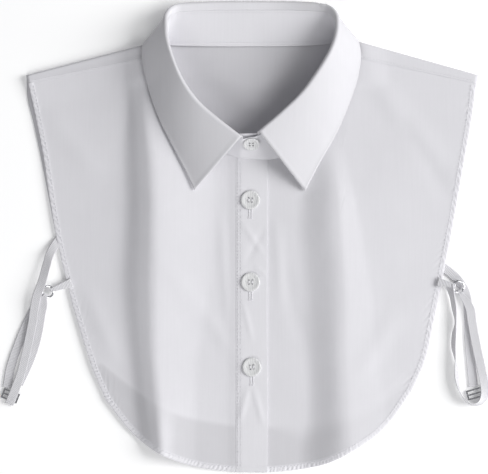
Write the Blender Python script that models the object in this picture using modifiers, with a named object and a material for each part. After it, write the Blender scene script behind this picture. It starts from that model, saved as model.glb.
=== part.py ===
"""A detachable shirt collar with short front and back panels, laid flat. Metres, +Z up.

X runs to the viewer's right, Y toward the neck, Z up from the surface it lies on.
Lengths in the tables are millimetres.
"""

import math

import bmesh
import bpy
import numpy as np
from mathutils import Matrix

MM = 0.001

# Cloth walls and the gap that parts keep at a seam
CLOTH = 1.0
STAND_CLOTH = 1.2
BAND_CLOTH = 1.4
GAP = 0.3
LAYER = CLOTH + GAP
BAND_STEP = (CLOTH + BAND_CLOTH) / 2 + GAP

# The centre front, and how much of the back lies on the collar's fall
CENTRE = 5.6
FALL_HALF = 112.0
FALL_EDGE_Y = 116.0

# Points down the fronts and the back, and round the collar
FRONT_ROWS = 22
BACK_ROWS = 14
COLLAR_STEPS = 60

# The shoulder fold, where the back wraps over to the forward seam
FOLD_RADIUS = 1.5
SHOULDER_PUFF = 35.0
FOLD_LEFT = ((-174.8, 129.2), (-69.0, 156.6))
FOLD_RIGHT = ((186.4, 129.2), (78.5, 159.4))
SEAM_LEFT = ((-173.2, 123.0), (-71.2, 143.2))
SEAM_RIGHT = ((184.8, 122.8), (81.0, 145.0))

# Outlines in plan, x and y
ARMHOLE_FRONT_LEFT = (
    (-173.2, 123.0), (-168.5, 101.6), (-161.8, 68.0), (-156.0, 29.6), (-150.4, -2.4),
    (-141.0, -42.4), (-132.0, -74.4), (-121.6, -106.4), (-111.2, -130.4),
)
HEM_FRONT_LEFT = (
    (-111.2, -130.4), (-92.8, -154.0), (-73.6, -170.0), (-55.2, -178.8), (-32.8, -184.8),
    (-7.4, -188.0),
)
ARMHOLE_FRONT_RIGHT = (
    (184.8, 122.8), (182.4, 101.6), (178.4, 77.6), (170.6, 33.6), (164.6, 0.0),
    (157.6, -34.4), (151.2, -66.4), (144.0, -98.4), (133.6, -122.4),
)
HEM_FRONT_RIGHT = (
    (133.6, -122.4), (116.8, -146.4), (100.8, -161.6), (72.8, -178.0), (50.4, -184.6),
    (20.8, -188.0), (-3.0, -188.0),
)
ARMHOLE_BACK_LEFT = (
    (-174.8, 129.2), (-174.0, 111.2), (-169.6, 92.8), (-163.6, 64.8), (-158.0, 36.0),
    (-150.0, -4.0), (-139.6, -44.0), (-128.0, -78.0), (-114.0, -102.0),
)
HEM_BACK = (
    (-114.0, -102.0), (-84.0, -125.0), (-54.4, -142.0), (-9.6, -151.0), (22.4, -151.5),
    (56.0, -145.0), (100.0, -128.0), (130.0, -104.0),
)
ARMHOLE_BACK_RIGHT = (
    (186.4, 129.2), (181.4, 101.6), (177.0, 77.6), (169.2, 33.6), (163.2, 0.0),
    (156.0, -34.4), (148.0, -68.0), (130.0, -104.0),
)

# Stations round the collar from the left leaf's point to the right one: neck seam x, y and its rise
# over the panel; roll line x, y, z; outer edge x, y and its level, 1 over the front to 0 under the back
COLLAR_STATIONS = (
    (-4.0, 64.8, 2.8, -1.6, 80.0, 24.0, -40.4, 37.6, 1.0),
    (-24.8, 72.0, 1.4, -18.4, 92.8, 26.0, -46.8, 51.6, 1.0),
    (-44.0, 87.2, 1.2, -36.0, 108.0, 28.5, -57.0, 71.6, 1.0),
    (-59.2, 107.2, 2.0, -48.8, 125.6, 30.5, -67.6, 93.2, 1.0),
    (-68.0, 128.8, 2.3, -56.8, 144.0, 31.0, -75.8, 116.0, 1.0),
    (-70.6, 142.0, 1.2, -60.6, 159.0, 28.0, -81.4, 139.0, 1.0),
    (-69.6, 148.6, 1.2, -61.4, 168.0, 24.5, -81.8, 151.0, 1.0),
    (-66.6, 152.6, 1.0, -61.6, 174.8, 21.0, -79.8, 156.4, 0.5),
    (-64.4, 154.6, 0.9, -60.2, 179.0, 18.0, -76.5, 155.4, 0.04),
    (-61.6, 155.0, 0.9, -57.0, 182.8, 15.0, -70.0, 150.5, 0.0),
    (-52.6, 154.4, 0.9, -49.4, 186.0, 12.0, -55.0, 144.4, 0.0),
    (-26.4, 154.0, 0.9, -24.0, 187.6, 10.0, -28.0, 142.0, 0.0),
    (5.6, 154.0, 0.9, 5.6, 187.8, 10.0, 5.6, 141.4, 0.0),
    (37.6, 154.2, 0.9, 36.0, 187.6, 10.0, 39.2, 142.0, 0.0),
    (62.4, 155.4, 0.9, 58.2, 186.0, 12.4, 65.0, 144.8, 0.0),
    (71.4, 157.4, 0.9, 66.0, 183.4, 15.0, 79.0, 152.0, 0.0),
    (74.2, 157.0, 0.9, 69.6, 179.6, 18.0, 85.4, 157.0, 0.04),
    (76.4, 155.0, 1.0, 71.4, 175.4, 21.0, 88.8, 158.6, 0.5),
    (79.4, 151.0, 1.2, 71.6, 169.6, 24.5, 91.4, 152.6, 1.0),
    (80.4, 144.4, 1.2, 70.8, 161.6, 28.0, 92.2, 141.0, 1.0),
    (78.4, 131.0, 2.3, 66.4, 149.0, 31.0, 88.8, 123.6, 1.0),
    (71.2, 110.0, 2.3, 56.8, 132.6, 30.5, 81.6, 103.2, 1.0),
    (56.8, 90.4, 1.2, 44.0, 115.0, 28.5, 72.6, 82.4, 1.0),
    (36.0, 73.6, 1.2, 27.2, 98.8, 26.5, 60.2, 60.4, 1.0),
    (13.6, 65.2, 1.2, 9.6, 84.0, 25.0, 48.0, 36.8, 1.0),
)
CREST_RADIUS = 1.6
STAND_SHARE_FRONT, STAND_SHARE_BACK = 0.86, 0.8
STAND_OVERLAP = 15.0
CENTRE_BACK_Y = 156.5
FALL_HUG = 0.12
FALL_KNEE = 0.6

# Soft folds that run down the fronts: crest x, width left of it, width right of it, height
FRONT_FOLDS = (
    (-74.5, 24.0, 40.0, 8.0),
    (70.0, 26.0, 32.0, 7.5),
)
FOLD_STARTS_Y = 118.0
FOLD_FULL_Y = 40.0

# The button band on the left front, and what fastens it
BAND_LEFT, BAND_RIGHT = -7.1, 18.6
BAND_TOP = 64.0
BAND_BOTTOM = -188.0
BUTTON_RADIUS = 8.0
BUTTON_THICK = 2.4
BUTTON_HOLE_RADIUS = 0.9
BUTTON_HOLE_SPREAD = 1.9
BUTTON_PLACES = ((4.2, 29.6), (4.4, -36.0), (5.4, -104.0))

COLLAR_BUTTON_RADIUS = 6.8
COLLAR_BUTTON_UP = 0.6

# Side straps: each row is x, y, z, the compass angle of the width, and its tilt
STRAP_WIDTH = 7.0
STRAP_CLOTH = 1.0
STRAP_GATHERED = 0.45
RING_RADIUS, RING_WIRE = 4.5, 0.9
SLIDER_SIZE = (13.6, 8.0, 1.4)
SLIDER_RIM = 1.3
RING_LEFT = (-157.6, -43.6, 2.5)
RING_RIGHT = (170.6, -39.6, 3.9)
SLIDER_LEFT = (-187.6, -127.0, 0.75, -22.0)
SLIDER_RIGHT = (184.0, -125.2, 1.15, 16.0)
TAB_LEFT = (-142.9, -38.2)
TAB_RIGHT = (158.3, -36.2)
STRAP_LEFT_UPPER = (
    (-151.2, -4.8, 1.6, -60.0, 0.0), (-155.8, -13.6, 4.4, -42.0, 10.0),
    (-158.6, -23.2, 5.6, -30.0, 15.0), (-162.2, -36.0, 6.2, -28.0, 10.0),
    (-166.4, -48.0, 5.2, -24.0, 0.0), (-168.4, -57.6, 4.0, -16.0, 0.0),
    (-169.8, -68.0, 3.2, -12.0, 0.0), (-172.6, -82.0, 3.0, -13.0, 0.0),
    (-176.0, -97.0, 3.0, -14.0, 0.0), (-179.4, -110.0, 3.0, -16.0, 0.0),
    (-183.4, -121.0, 3.0, -20.0, 0.0), (-186.8, -129.6, 2.8, -22.0, 0.0),
)
STRAP_LEFT_LOOP = (
    (-190.4, -120.6, 0.6, -14.0, 0.0), (-187.4, -104.0, 0.6, -16.0, 0.0),
    (-181.4, -86.4, 0.6, -18.0, 0.0), (-175.6, -72.0, 0.6, -22.0, 0.0),
    (-168.8, -58.0, 0.6, -30.0, 0.0), (-162.6, -50.0, 0.6, -36.0, 0.0),
)
STRAP_LEFT_RETURN = (
    (-161.0, -52.4, 3.7, -32.0, 0.0), (-163.0, -62.0, 2.2, -20.0, 0.0),
    (-165.4, -76.0, 0.9, -16.0, 0.0), (-169.0, -90.0, 0.6, -16.0, 0.0),
    (-174.0, -103.0, 0.6, -18.0, 0.0), (-181.0, -118.0, 0.6, -20.0, 0.0),
)
STRAP_RIGHT_UPPER = (
    (160.8, -25.9, 0.6, 55.0, 0.0), (170.4, -34.6, 0.6, 42.0, 0.0),
    (177.0, -47.0, 0.6, 18.0, 0.0), (178.6, -66.0, 0.6, 4.0, 0.0),
    (179.0, -81.0, 0.6, 6.0, 0.0), (180.4, -98.0, 0.6, 6.0, 0.0),
    (182.6, -119.6, 0.6, 10.0, 0.0),
)
STRAP_RIGHT_LOOP = (
    (167.6, -50.4, 5.0, 8.0, 30.0), (168.6, -66.4, 3.8, 0.0, 55.0),
    (168.2, -79.0, 3.4, -4.0, 50.0), (168.2, -94.4, 3.6, 4.0, 55.0),
    (169.6, -110.4, 3.6, 14.0, 55.0), (172.6, -126.0, 3.6, 34.0, 55.0),
    (178.6, -134.4, 3.8, 62.0, 55.0), (186.6, -135.0, 3.8, 110.0, 50.0),
    (191.6, -127.0, 3.6, 160.0, 25.0), (189.6, -112.0, 3.2, 190.0, 0.0),
    (185.8, -98.4, 3.0, 188.0, 0.0), (183.6, -81.6, 3.0, 184.0, 0.0),
    (182.0, -68.8, 3.0, 188.0, 0.0), (179.6, -56.0, 2.8, 194.0, 0.0),
)

# Materials: colour, roughness, metallic
FINISHES = {
    "cotton": ((0.80, 0.81, 0.84), 0.82, 0.0),
    "elastic": ((0.72, 0.73, 0.76), 0.7, 0.0),
    "pearl": ((0.86, 0.87, 0.88), 0.25, 0.0),
    "plated": ((0.62, 0.62, 0.64), 0.25, 1.0),
}


def clear_scene():
    for thing in list(bpy.data.objects):
        bpy.data.objects.remove(thing, do_unlink=True)


def collection(name, shown=True):
    made = bpy.data.collections.new(name)
    bpy.context.scene.collection.children.link(made)
    made.hide_render = not shown
    return made


def finish(name, kind):
    colour, roughness, metallic = FINISHES[kind]
    made = bpy.data.materials.new(f"{name}_{kind}")
    made.use_nodes = True
    shader = made.node_tree.nodes["Principled BSDF"]
    shader.inputs["Base Color"].default_value = (*colour, 1.0)
    shader.inputs["Roughness"].default_value = roughness
    shader.inputs["Metallic"].default_value = metallic
    return made


def smooth(value):
    """0 below 0, 1 above 1, an S curve between."""
    held = np.clip(value, 0.0, 1.0)
    return held * held * (3.0 - 2.0 * held)


def through(points, count):
    """A smooth curve through the points, as count points."""
    known = np.array(points, float)
    ends = np.vstack([2 * known[0] - known[1], known, 2 * known[-1] - known[-2]])
    places = np.linspace(0, len(known) - 1, count)
    found = []
    for place in places:
        i = min(int(place), len(known) - 2)
        t = place - i
        a, b, c, d = ends[i : i + 4]
        found.append(
            0.5 * (2 * b + (c - a) * t + (2 * a - 5 * b + 4 * c - d) * t**2
                   + (3 * b - a - 3 * c + d) * t**3)
        )
    return np.array(found)


def even(points, count):
    """The same line as count points, evenly spaced along it."""
    steps = np.linalg.norm(np.diff(points, axis=0), axis=1)
    run = np.concatenate([[0], np.cumsum(steps)])
    at = np.linspace(0, run[-1], count)
    return np.stack([np.interp(at, run, points[:, k]) for k in range(points.shape[1])], axis=1)


def at_x(points, keys):
    """Points of a line that runs one way in x, at the given x values."""
    order = np.argsort(points[:, 0])
    return np.stack([keys, np.interp(keys, points[order, 0], points[order, 1])], axis=1)


def patch(top, bottom, start, end):
    """A net of points between four edges: top and bottom run start to end, the sides top to bottom."""
    u = np.linspace(0, 1, len(top))[None, :, None]
    v = np.linspace(0, 1, len(start))[:, None, None]
    across = (1 - v) * top[None] + v * bottom[None]
    down = (1 - u) * start[:, None] + u * end[:, None]
    corners = (
        (1 - u) * (1 - v) * top[0] + u * (1 - v) * top[-1]
        + (1 - u) * v * bottom[0] + u * v * bottom[-1]
    )
    return across + down - corners


def line_y(line, x):
    (x0, y0), (x1, y1) = line
    return y0 + (y1 - y0) * (x - x0) / (x1 - x0)


def fold_y(x):
    """Where the shoulders fold over, at this x."""
    return np.where(x < CENTRE, line_y(FOLD_LEFT, x), line_y(FOLD_RIGHT, x))


def back_height(x, y):
    """Mid-height of the back: flat, and raised where the collar's fall lies under it."""
    over_fall = smooth((FALL_HALF - abs(x - CENTRE)) / 20) * smooth((y - FALL_EDGE_Y) / 12)
    return CLOTH / 2 + LAYER * over_fall


def folds(x, y):
    """The soft folds that run from the collar to the hem."""
    grown = 0.15 + 0.85 * smooth((FOLD_STARTS_Y - y) / (FOLD_STARTS_Y - FOLD_FULL_Y))
    raised = 0.0
    for crest, left, right, height in FRONT_FOLDS:
        away = x - crest
        shape = smooth(1 - np.where(away < 0, -away / left, away / right))
        raised = raised + height * grown * shape
    return raised * smooth((150 - y) / 40)


def front_height(x, y):
    """Mid-height of the fronts, which lie on the back and drop a little past its hem."""
    puff = smooth(1 - (fold_y(x) - y) / SHOULDER_PUFF)
    past_back = smooth((at_hem(x) - y - 3.5) / 9)
    return (
        back_height(x, y) + LAYER + (2 * FOLD_RADIUS - LAYER) * puff + folds(x, y)
        - LAYER * past_back
    )


def at_hem(x):
    hem = through(HEM_BACK, 60)
    return np.interp(x, hem[:, 0], hem[:, 1])


def band_rise(x):
    """How the left front climbs to the button band."""
    return BAND_STEP * smooth((x - BAND_LEFT + 9) / 9)


def cloth(name, nets, thickness, kind="cotton"):
    """A cloth wall through nets of points at its mid-surface, joined where they share an edge."""
    build = bmesh.new()
    for net in nets:
        corners = [[build.verts.new(point * MM) for point in row] for row in net]
        for upper, lower in zip(corners, corners[1:]):
            for i in range(len(upper) - 1):
                build.faces.new((upper[i], lower[i], lower[i + 1], upper[i + 1]))
    bmesh.ops.remove_doubles(build, verts=build.verts, dist=0.01 * MM)
    bmesh.ops.recalc_face_normals(build, faces=build.faces)
    mesh = bpy.data.meshes.new(name)
    build.to_mesh(mesh)
    build.free()
    mesh.shade_smooth()
    made = bpy.data.objects.new(name, mesh)
    wall = made.modifiers.new("wall", "SOLIDIFY")
    wall.thickness = thickness * MM
    wall.offset = 0
    wall.use_even_offset = True
    mesh.materials.append(finish(name, kind))
    PARTS.objects.link(made)
    return made


def raised(plan, height):
    """Plan points given their heights."""
    return np.dstack([plan, height(plan[..., 0], plan[..., 1])])


def spread(stops, counts):
    """Values from stop to stop, with this many steps in each stretch."""
    found = [np.linspace(a, b, n, endpoint=False) for a, b, n in zip(stops, stops[1:], counts)]
    return np.concatenate([*found, [stops[-1]]])


def neckline():
    """The neck seam in plan, as a dense line."""
    return through([row[:2] for row in COLLAR_STATIONS], 200)


def front(name, side, hem_points, armhole_points, seam, keys_top, keys_hem, counts, extra):
    """One front, as a net from the armhole to its centre edge and from the shoulder to the hem."""
    neck = neckline()
    half = neck[((neck[:, 0] - CENTRE) * side > -20) & (neck[:, 1] < seam[1][1])]
    top_x = spread(keys_top, counts)
    on_seam = np.abs(top_x - CENTRE) >= abs(seam[1][0] - CENTRE) - 0.01
    at_neck = at_x(half, top_x)[:, 1]
    top = np.stack([top_x, np.where(on_seam, line_y(seam, top_x) - GAP, at_neck)], axis=1)
    bottom = at_x(through(hem_points, 80), spread(keys_hem, counts))
    outer = through(armhole_points, 120)
    outer = even(outer, FRONT_ROWS)
    outer[0], outer[-1] = top[0], bottom[0]
    inner = np.linspace(top[-1], bottom[-1], FRONT_ROWS)
    plan = patch(top, bottom, outer, inner)
    cloth(name, [raised(plan, lambda x, y: front_height(x, y) + extra(x))], CLOTH)


def fronts():
    front(
        "front_left", -1, HEM_FRONT_LEFT, ARMHOLE_FRONT_LEFT, SEAM_LEFT,
        (-173.2, -100.0, -71.2, -48.0, BAND_LEFT - GAP), (-111.2, -98.0, -74.5, -50.0, BAND_LEFT - GAP),
        (6, 5, 5, 5), band_rise,
    )
    front(
        "front_right", 1, HEM_FRONT_RIGHT, ARMHOLE_FRONT_RIGHT, SEAM_RIGHT,
        (184.8, 106.0, 81.0, 50.0, -3.0), (133.6, 102.0, 70.0, 46.0, -3.0), (6, 5, 6, 6),
        lambda x: 0.0 * x,
    )


def back():
    """The back, with a strip on each shoulder that folds over to the forward seam."""
    neck = neckline()
    behind = neck[(neck[:, 1] > 153.5) & (neck[:, 0] > -66) & (neck[:, 0] < 76)]
    top_x = spread((FOLD_LEFT[0][0], FOLD_LEFT[1][0], FOLD_RIGHT[1][0], FOLD_RIGHT[0][0]), (9, 12, 9))
    hem_x = spread((HEM_BACK[0][0], -52.0, 62.0, HEM_BACK[-1][0]), (9, 12, 9))
    shoulder = (top_x <= FOLD_LEFT[1][0]) | (top_x >= FOLD_RIGHT[1][0])
    top_y = np.where(
        shoulder, fold_y(top_x) - FOLD_RADIUS, np.interp(top_x, behind[:, 0], behind[:, 1])
    )
    top = np.stack([top_x, top_y], axis=1)
    bottom = at_x(through(HEM_BACK, 80), hem_x)
    left = even(through(ARMHOLE_BACK_LEFT, 100), BACK_ROWS)
    right = even(through(ARMHOLE_BACK_RIGHT, 100), BACK_ROWS)
    left[0], left[-1], right[0], right[-1] = top[0], bottom[0], top[-1], bottom[-1]
    plan = patch(top, bottom, left, right)
    nets = [raised(plan, back_height)]
    for side, fold, seam in ((-1, FOLD_LEFT, SEAM_LEFT), (1, FOLD_RIGHT, SEAM_RIGHT)):
        columns = top[top[:, 0] <= fold[1][0]] if side < 0 else top[top[:, 0] >= fold[1][0]]
        nets.append(shoulder_strip(columns, fold, seam))
    cloth("back_panel", nets, CLOTH)


def shoulder_strip(columns, fold, seam):
    """Round the shoulder's fold and down the front to the forward seam."""
    x, y = columns[:, 0], columns[:, 1]
    low = back_height(x, y)
    net = []
    for turn in np.linspace(0, math.pi, 6):
        out, up = FOLD_RADIUS * math.sin(turn), FOLD_RADIUS * (1 - math.cos(turn))
        net.append(np.stack([x, y + out, low + up], axis=1))
    share = (x - fold[0][0]) / (fold[1][0] - fold[0][0])
    seam_x = seam[0][0] + share * (seam[1][0] - seam[0][0])
    seam_y = line_y(seam, seam_x)
    for down in (0.33, 0.67, 1.0):
        at = x + (seam_x - x) * down
        along = y + (seam_y - y) * down
        net.append(np.stack([at, along, front_height(at, along)], axis=1))
    return np.array(net)


def collar_sections():
    """The collar's stations, each as its neck point, roll point, edge point and edge level."""
    found = []
    for row in through(COLLAR_STATIONS, COLLAR_STEPS + 1):
        x, y, rise, roll_x, roll_y, roll_z, edge_x, edge_y, level = row
        level = float(np.clip(level, 0, 1))
        on_front = smooth((CENTRE_BACK_Y - y) / 4)
        low, high = back_height(x, y), front_height(x, min(y, fold_y(x) - FOLD_RADIUS))
        neck = np.array([x, y, low + (high - low) * on_front + rise])
        over = front_height(edge_x, min(edge_y, fold_y(edge_x) - FOLD_RADIUS)) + LAYER + 0.3
        edge = np.array([edge_x, edge_y, CLOTH / 2 + (over - CLOTH / 2) * level])
        found.append((neck, np.array([roll_x, roll_y, roll_z]), edge, level))
    return found


def unit(vector):
    return vector / np.linalg.norm(vector)


def stand_top(neck, roll, level):
    share = STAND_SHARE_BACK + (STAND_SHARE_FRONT - STAND_SHARE_BACK) * smooth(level)
    return neck + (roll - neck) * share


def stand():
    """The band that stands on the neck seam. Its left end laps over its right end at the front."""
    sections = collar_sections()
    lines = []
    for neck, roll, _, level in sections:
        lines.append((neck, stand_top(neck, roll, level)))
    under = np.array([0.0, STAND_CLOTH, -STAND_CLOTH])
    lap = 6
    for i in range(1, lap + 1):
        neck, top = lines[-i]
        share = smooth((lap + 1 - i) / lap)
        lines[-i] = (neck + under * share, top + under * share)
    along = np.array([STAND_OVERLAP, 0.8, 0.0])
    first, last = lines[0], lines[-1]
    steps = np.linspace(1, 0, 5)[:-1]
    over_end = [(first[0] + along * s, first[1] + along * s) for s in steps]
    under_end = [(last[0] - along * s, last[1] - along * s) for s in steps[::-1]]
    lines = over_end + lines + under_end
    heights = np.linspace(0, 1, 5)
    net = [[neck + (top - neck) * h for neck, top in lines] for h in heights]
    cloth("collar_stand", [np.array(net)], STAND_CLOTH)


def fall():
    """The turned-down part, over the roll from the stand's top edge to the leaf's edge."""
    net = []
    for neck, roll, edge, level in collar_sections():
        rise = unit(roll - neck)
        out = edge - roll
        out = unit(out - rise * np.dot(out, rise))
        seam = stand_top(neck, roll, level) + rise * 2 * GAP
        turn = roll - rise * CREST_RADIUS + out * CREST_RADIUS
        points = [seam, (seam + turn - out * CREST_RADIUS) / 2]
        for angle in np.linspace(0, math.pi, 5):
            points.append(
                turn - out * CREST_RADIUS * math.cos(angle) + rise * CREST_RADIUS * math.sin(angle)
            )
        start = points[-1]
        reach = np.linalg.norm(edge - start)
        near = start - rise * reach * FALL_HUG
        leaf = start - edge
        leaf[2] *= smooth(level)
        knee = edge + leaf * FALL_KNEE
        far = knee + leaf * (1 - FALL_KNEE) * 0.6
        for t in np.linspace(0, 1, 6)[1:]:
            points.append(
                (1 - t) ** 3 * start + 3 * (1 - t) ** 2 * t * near + 3 * (1 - t) * t**2 * far
                + t**3 * knee
            )
        for share in (0.5, 0.0):
            points.append(edge + (knee - edge) * share)
        net.append(points)
    cloth("collar_fall", [np.array(net)], CLOTH)


def band():
    """The folded strip down the left front's edge that holds the buttonholes."""
    across = np.linspace(BAND_LEFT, BAND_RIGHT, 6)
    down = np.linspace(BAND_TOP, BAND_BOTTOM, 40)
    plan = np.dstack(np.meshgrid(across, down))
    cloth("placket_band", [raised(plan, band_height)], BAND_CLOTH)


def band_height(x, y):
    return front_height(x, y) + BAND_STEP


def button(name, place, lean, radius=BUTTON_RADIUS):
    """A pearl button: a turned disc with a raised rim and four holes."""
    profile = (
        (0.0, 0.0), (0.8, 0.0), (0.97, 0.25), (1.0, 0.6), (0.96, 0.95), (0.86, 1.0), (0.72, 0.85),
        (0.5, 0.66), (0.0, 0.62),
    )
    mesh = bpy.data.meshes.new(name)
    points = [(r * radius * MM, 0, z * BUTTON_THICK * MM) for r, z in profile]
    mesh.from_pydata(points, [(i, i + 1) for i in range(len(points) - 1)], [])
    made = bpy.data.objects.new(name, mesh)
    turned = made.modifiers.new("turned", "SCREW")
    turned.steps = turned.render_steps = 24
    turned.use_merge_vertices = True
    turned.merge_threshold = 0.00001
    turned.use_normal_calculate = True
    made.location = np.array(place) * MM
    made.rotation_euler = lean
    mesh.materials.append(finish(name, "pearl"))
    PARTS.objects.link(made)
    holes = bpy.data.objects.new(f"{name}_holes", hole_mesh(name))
    holes.parent = made
    CUTTERS.objects.link(holes)
    holes.display_type = "WIRE"
    cut = made.modifiers.new("holes", "BOOLEAN")
    cut.object = holes
    cut.operation = "DIFFERENCE"


def hole_mesh(name):
    """Four upright pins, as one mesh that cuts a button's holes."""
    build = bmesh.new()
    for turn in range(4):
        angle = math.pi / 4 + turn * math.pi / 2
        spot = np.array([math.cos(angle), math.sin(angle), 0]) * BUTTON_HOLE_SPREAD * MM
        pin = bmesh.ops.create_cone(
            build, cap_ends=True, segments=8, radius1=BUTTON_HOLE_RADIUS * MM,
            radius2=BUTTON_HOLE_RADIUS * MM, depth=4 * BUTTON_THICK * MM,
        )
        bmesh.ops.translate(build, verts=pin["verts"], vec=spot)
    mesh = bpy.data.meshes.new(f"{name}_holes")
    build.to_mesh(mesh)
    build.free()
    return mesh


def buttons():
    for i, (x, y) in enumerate(BUTTON_PLACES):
        low = band_height(np.array(x), np.array(y)) + BAND_CLOTH / 2 + GAP
        button(f"button_{i + 1}", (x, y, float(low)), (0, 0, 0.2 * i))


def collar_button():
    """The button of the stand, on the end that laps over at the front."""
    neck, roll, _, level = collar_sections()[0]
    top = stand_top(neck, roll, level)
    rise = unit(top - neck)
    out = unit(np.array([0.0, -rise[2], rise[1]]))
    place = neck + (top - neck) * COLLAR_BUTTON_UP + out * (STAND_CLOTH / 2 + GAP)
    place[0] = BUTTON_PLACES[0][0]
    lean = math.atan2(-out[1], out[2])
    button("collar_button", place, (lean, 0, 0), COLLAR_BUTTON_RADIUS)


def ribbon(name, rows, steps):
    """A strap along rows of x, y, z, compass angle and tilt."""
    net = []
    rows = [(*row, 1.0) if len(row) == 5 else row for row in rows]
    for x, y, z, compass, tilt, share in through(rows, steps):
        turn, lift = math.radians(compass), math.radians(tilt)
        across = np.array(
            [math.cos(turn) * math.cos(lift), math.sin(turn) * math.cos(lift), math.sin(lift)]
        )
        middle = np.array([x, y, z])
        half = across * STRAP_WIDTH * share / 2
        net.append([middle - half, middle, middle + half])
    cloth(name, [np.array(net)], STRAP_CLOTH, "elastic")


def round_wire(ring, compass):
    """Rows that carry a gathered strap up round a ring's wire, its width at this compass angle."""
    turn = math.radians(compass)
    inward = np.array([-math.sin(turn), math.cos(turn)])
    wire = np.array(ring[:2]) - inward * RING_RADIUS
    bend = RING_WIRE + 1.5 * GAP + STRAP_CLOTH / 2
    rows = []
    for angle in np.radians((-90, -45, 0, 45, 90)):
        at = wire + inward * bend * math.cos(angle)
        rows.append((*at, ring[2] + bend * math.sin(angle), compass, 0.0, STRAP_GATHERED))
    return tuple(rows)


def tab(name, start, ring):
    """The short strap from the armhole's edge, folded round the ring."""
    ahead = unit(np.array(ring[:2]) - np.array(start))
    compass = math.degrees(math.atan2(-ahead[0], ahead[1]))
    turn = round_wire(ring, compass)
    low = turn[0][2]
    begin = (*start, low, compass, 0.0)
    finish_off = (*start, low + 1.5 * LAYER, compass, 0.0)
    ribbon(name, (begin, *turn, finish_off), 22)


def ring(name, place):
    bpy.ops.mesh.primitive_torus_add(
        major_radius=RING_RADIUS * MM, minor_radius=RING_WIRE * MM,
        major_segments=28, minor_segments=8, location=np.array(place) * MM,
    )
    adopt(name, "plated")


def adopt(name, kind):
    """Names the primitive just added and puts it with the parts."""
    made = bpy.context.object
    made.name = made.data.name = name
    made.data.shade_smooth()
    made.data.materials.append(finish(name, kind))
    for holder in made.users_collection:
        holder.objects.unlink(made)
    PARTS.objects.link(made)
    return made


def slider(name, place):
    """A strap slider: a flat frame with a bar across its middle."""
    x, y, z, compass = place
    width, length, thick = SLIDER_SIZE
    bpy.ops.mesh.primitive_cube_add(size=MM, location=(0, 0, 0))
    made = adopt(name, "plated")
    made.data.transform(scaled(width, length, thick))
    made.data.shade_flat()
    slot = (length - 3 * SLIDER_RIM) / 2
    build = bmesh.new()
    for side in (-1, 1):
        pin = bmesh.ops.create_cube(build, size=MM)
        bmesh.ops.scale(build, verts=pin["verts"], vec=(width - 2 * SLIDER_RIM, slot, 3 * thick))
        shift = side * (slot + SLIDER_RIM) / 2 * MM
        bmesh.ops.translate(build, verts=pin["verts"], vec=(0, shift, 0))
    mesh = bpy.data.meshes.new(f"{name}_slots")
    build.to_mesh(mesh)
    build.free()
    slots = bpy.data.objects.new(f"{name}_slots", mesh)
    slots.parent = made
    slots.display_type = "WIRE"
    CUTTERS.objects.link(slots)
    cut = made.modifiers.new("slots", "BOOLEAN")
    cut.object = slots
    made.location = (x * MM, y * MM, z * MM)
    made.rotation_euler = (0, 0, math.radians(compass))


def scaled(x, y, z):
    return Matrix.Diagonal((x, y, z, 1.0))


def straps():
    ring("ring_left", RING_LEFT)
    ring("ring_right", RING_RIGHT)
    slider("slider_left", SLIDER_LEFT)
    slider("slider_right", SLIDER_RIGHT)
    tab("tab_left", TAB_LEFT, RING_LEFT)
    tab("tab_right", TAB_RIGHT, RING_RIGHT)
    ribbon("strap_left_upper", STRAP_LEFT_UPPER, 44)
    turn_left = round_wire(RING_LEFT, -34.0)
    ribbon("strap_left_loop", STRAP_LEFT_LOOP + turn_left + STRAP_LEFT_RETURN, 48)
    ribbon("strap_right_upper", STRAP_RIGHT_UPPER, 18)
    turn_right = [(*row[:3], row[3] + 180.0, *row[4:]) for row in round_wire(RING_RIGHT, 14.0)]
    back_again = [(*row[:3], row[3], *row[4:]) for row in STRAP_RIGHT_LOOP]
    ribbon("strap_right_loop", back_again + turn_right, 54)


clear_scene()
PARTS = collection("detachable_collar")
CUTTERS = collection("cutters", shown=False)
back()
fronts()
stand()
fall()
band()
buttons()
collar_button()
straps()
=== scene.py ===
"""Looks for a detachable shirt collar laid flat. Lengths in the tables are millimetres."""

import math

import bmesh
import bpy
import numpy as np
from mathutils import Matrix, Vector


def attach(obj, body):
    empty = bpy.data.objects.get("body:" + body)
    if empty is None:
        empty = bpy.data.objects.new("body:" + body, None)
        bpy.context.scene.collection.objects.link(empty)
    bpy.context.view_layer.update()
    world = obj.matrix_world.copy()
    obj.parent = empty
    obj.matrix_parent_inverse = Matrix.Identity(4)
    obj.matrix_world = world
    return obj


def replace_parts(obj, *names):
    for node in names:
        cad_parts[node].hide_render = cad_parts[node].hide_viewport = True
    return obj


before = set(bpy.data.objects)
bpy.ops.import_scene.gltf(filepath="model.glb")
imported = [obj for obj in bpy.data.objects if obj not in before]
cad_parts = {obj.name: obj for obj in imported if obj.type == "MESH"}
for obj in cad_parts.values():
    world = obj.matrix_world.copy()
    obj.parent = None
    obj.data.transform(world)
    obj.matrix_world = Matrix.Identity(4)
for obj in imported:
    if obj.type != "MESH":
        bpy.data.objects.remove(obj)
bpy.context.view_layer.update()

MM = 0.001

# The solids' walls and the gap that they keep at a seam
CLOTH = 1
STAND_CLOTH = 1.2
BAND_CLOTH = 1.4
GAP = 0.3
LAYER = CLOTH + GAP
BAND_STEP = (CLOTH + BAND_CLOTH) / 2 + GAP

# The centre front, and the part of the back that lies on the collar's fall
CENTRE = 5.6
FALL_HALF = 112
FALL_EDGE_Y = 116

# The shoulder fold, where the back wraps over to the forward seam
FOLD_RADIUS = 1.5
SHOULDER_PUFF = 35
FOLD_LEFT = ((-174.8, 129.2), (-69, 156.6))
FOLD_RIGHT = ((186.4, 129.2), (78.5, 159.4))
SEAM_LEFT = ((-173.2, 123), (-71.2, 143.2))
SEAM_RIGHT = ((184.8, 122.8), (81, 145))

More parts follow.
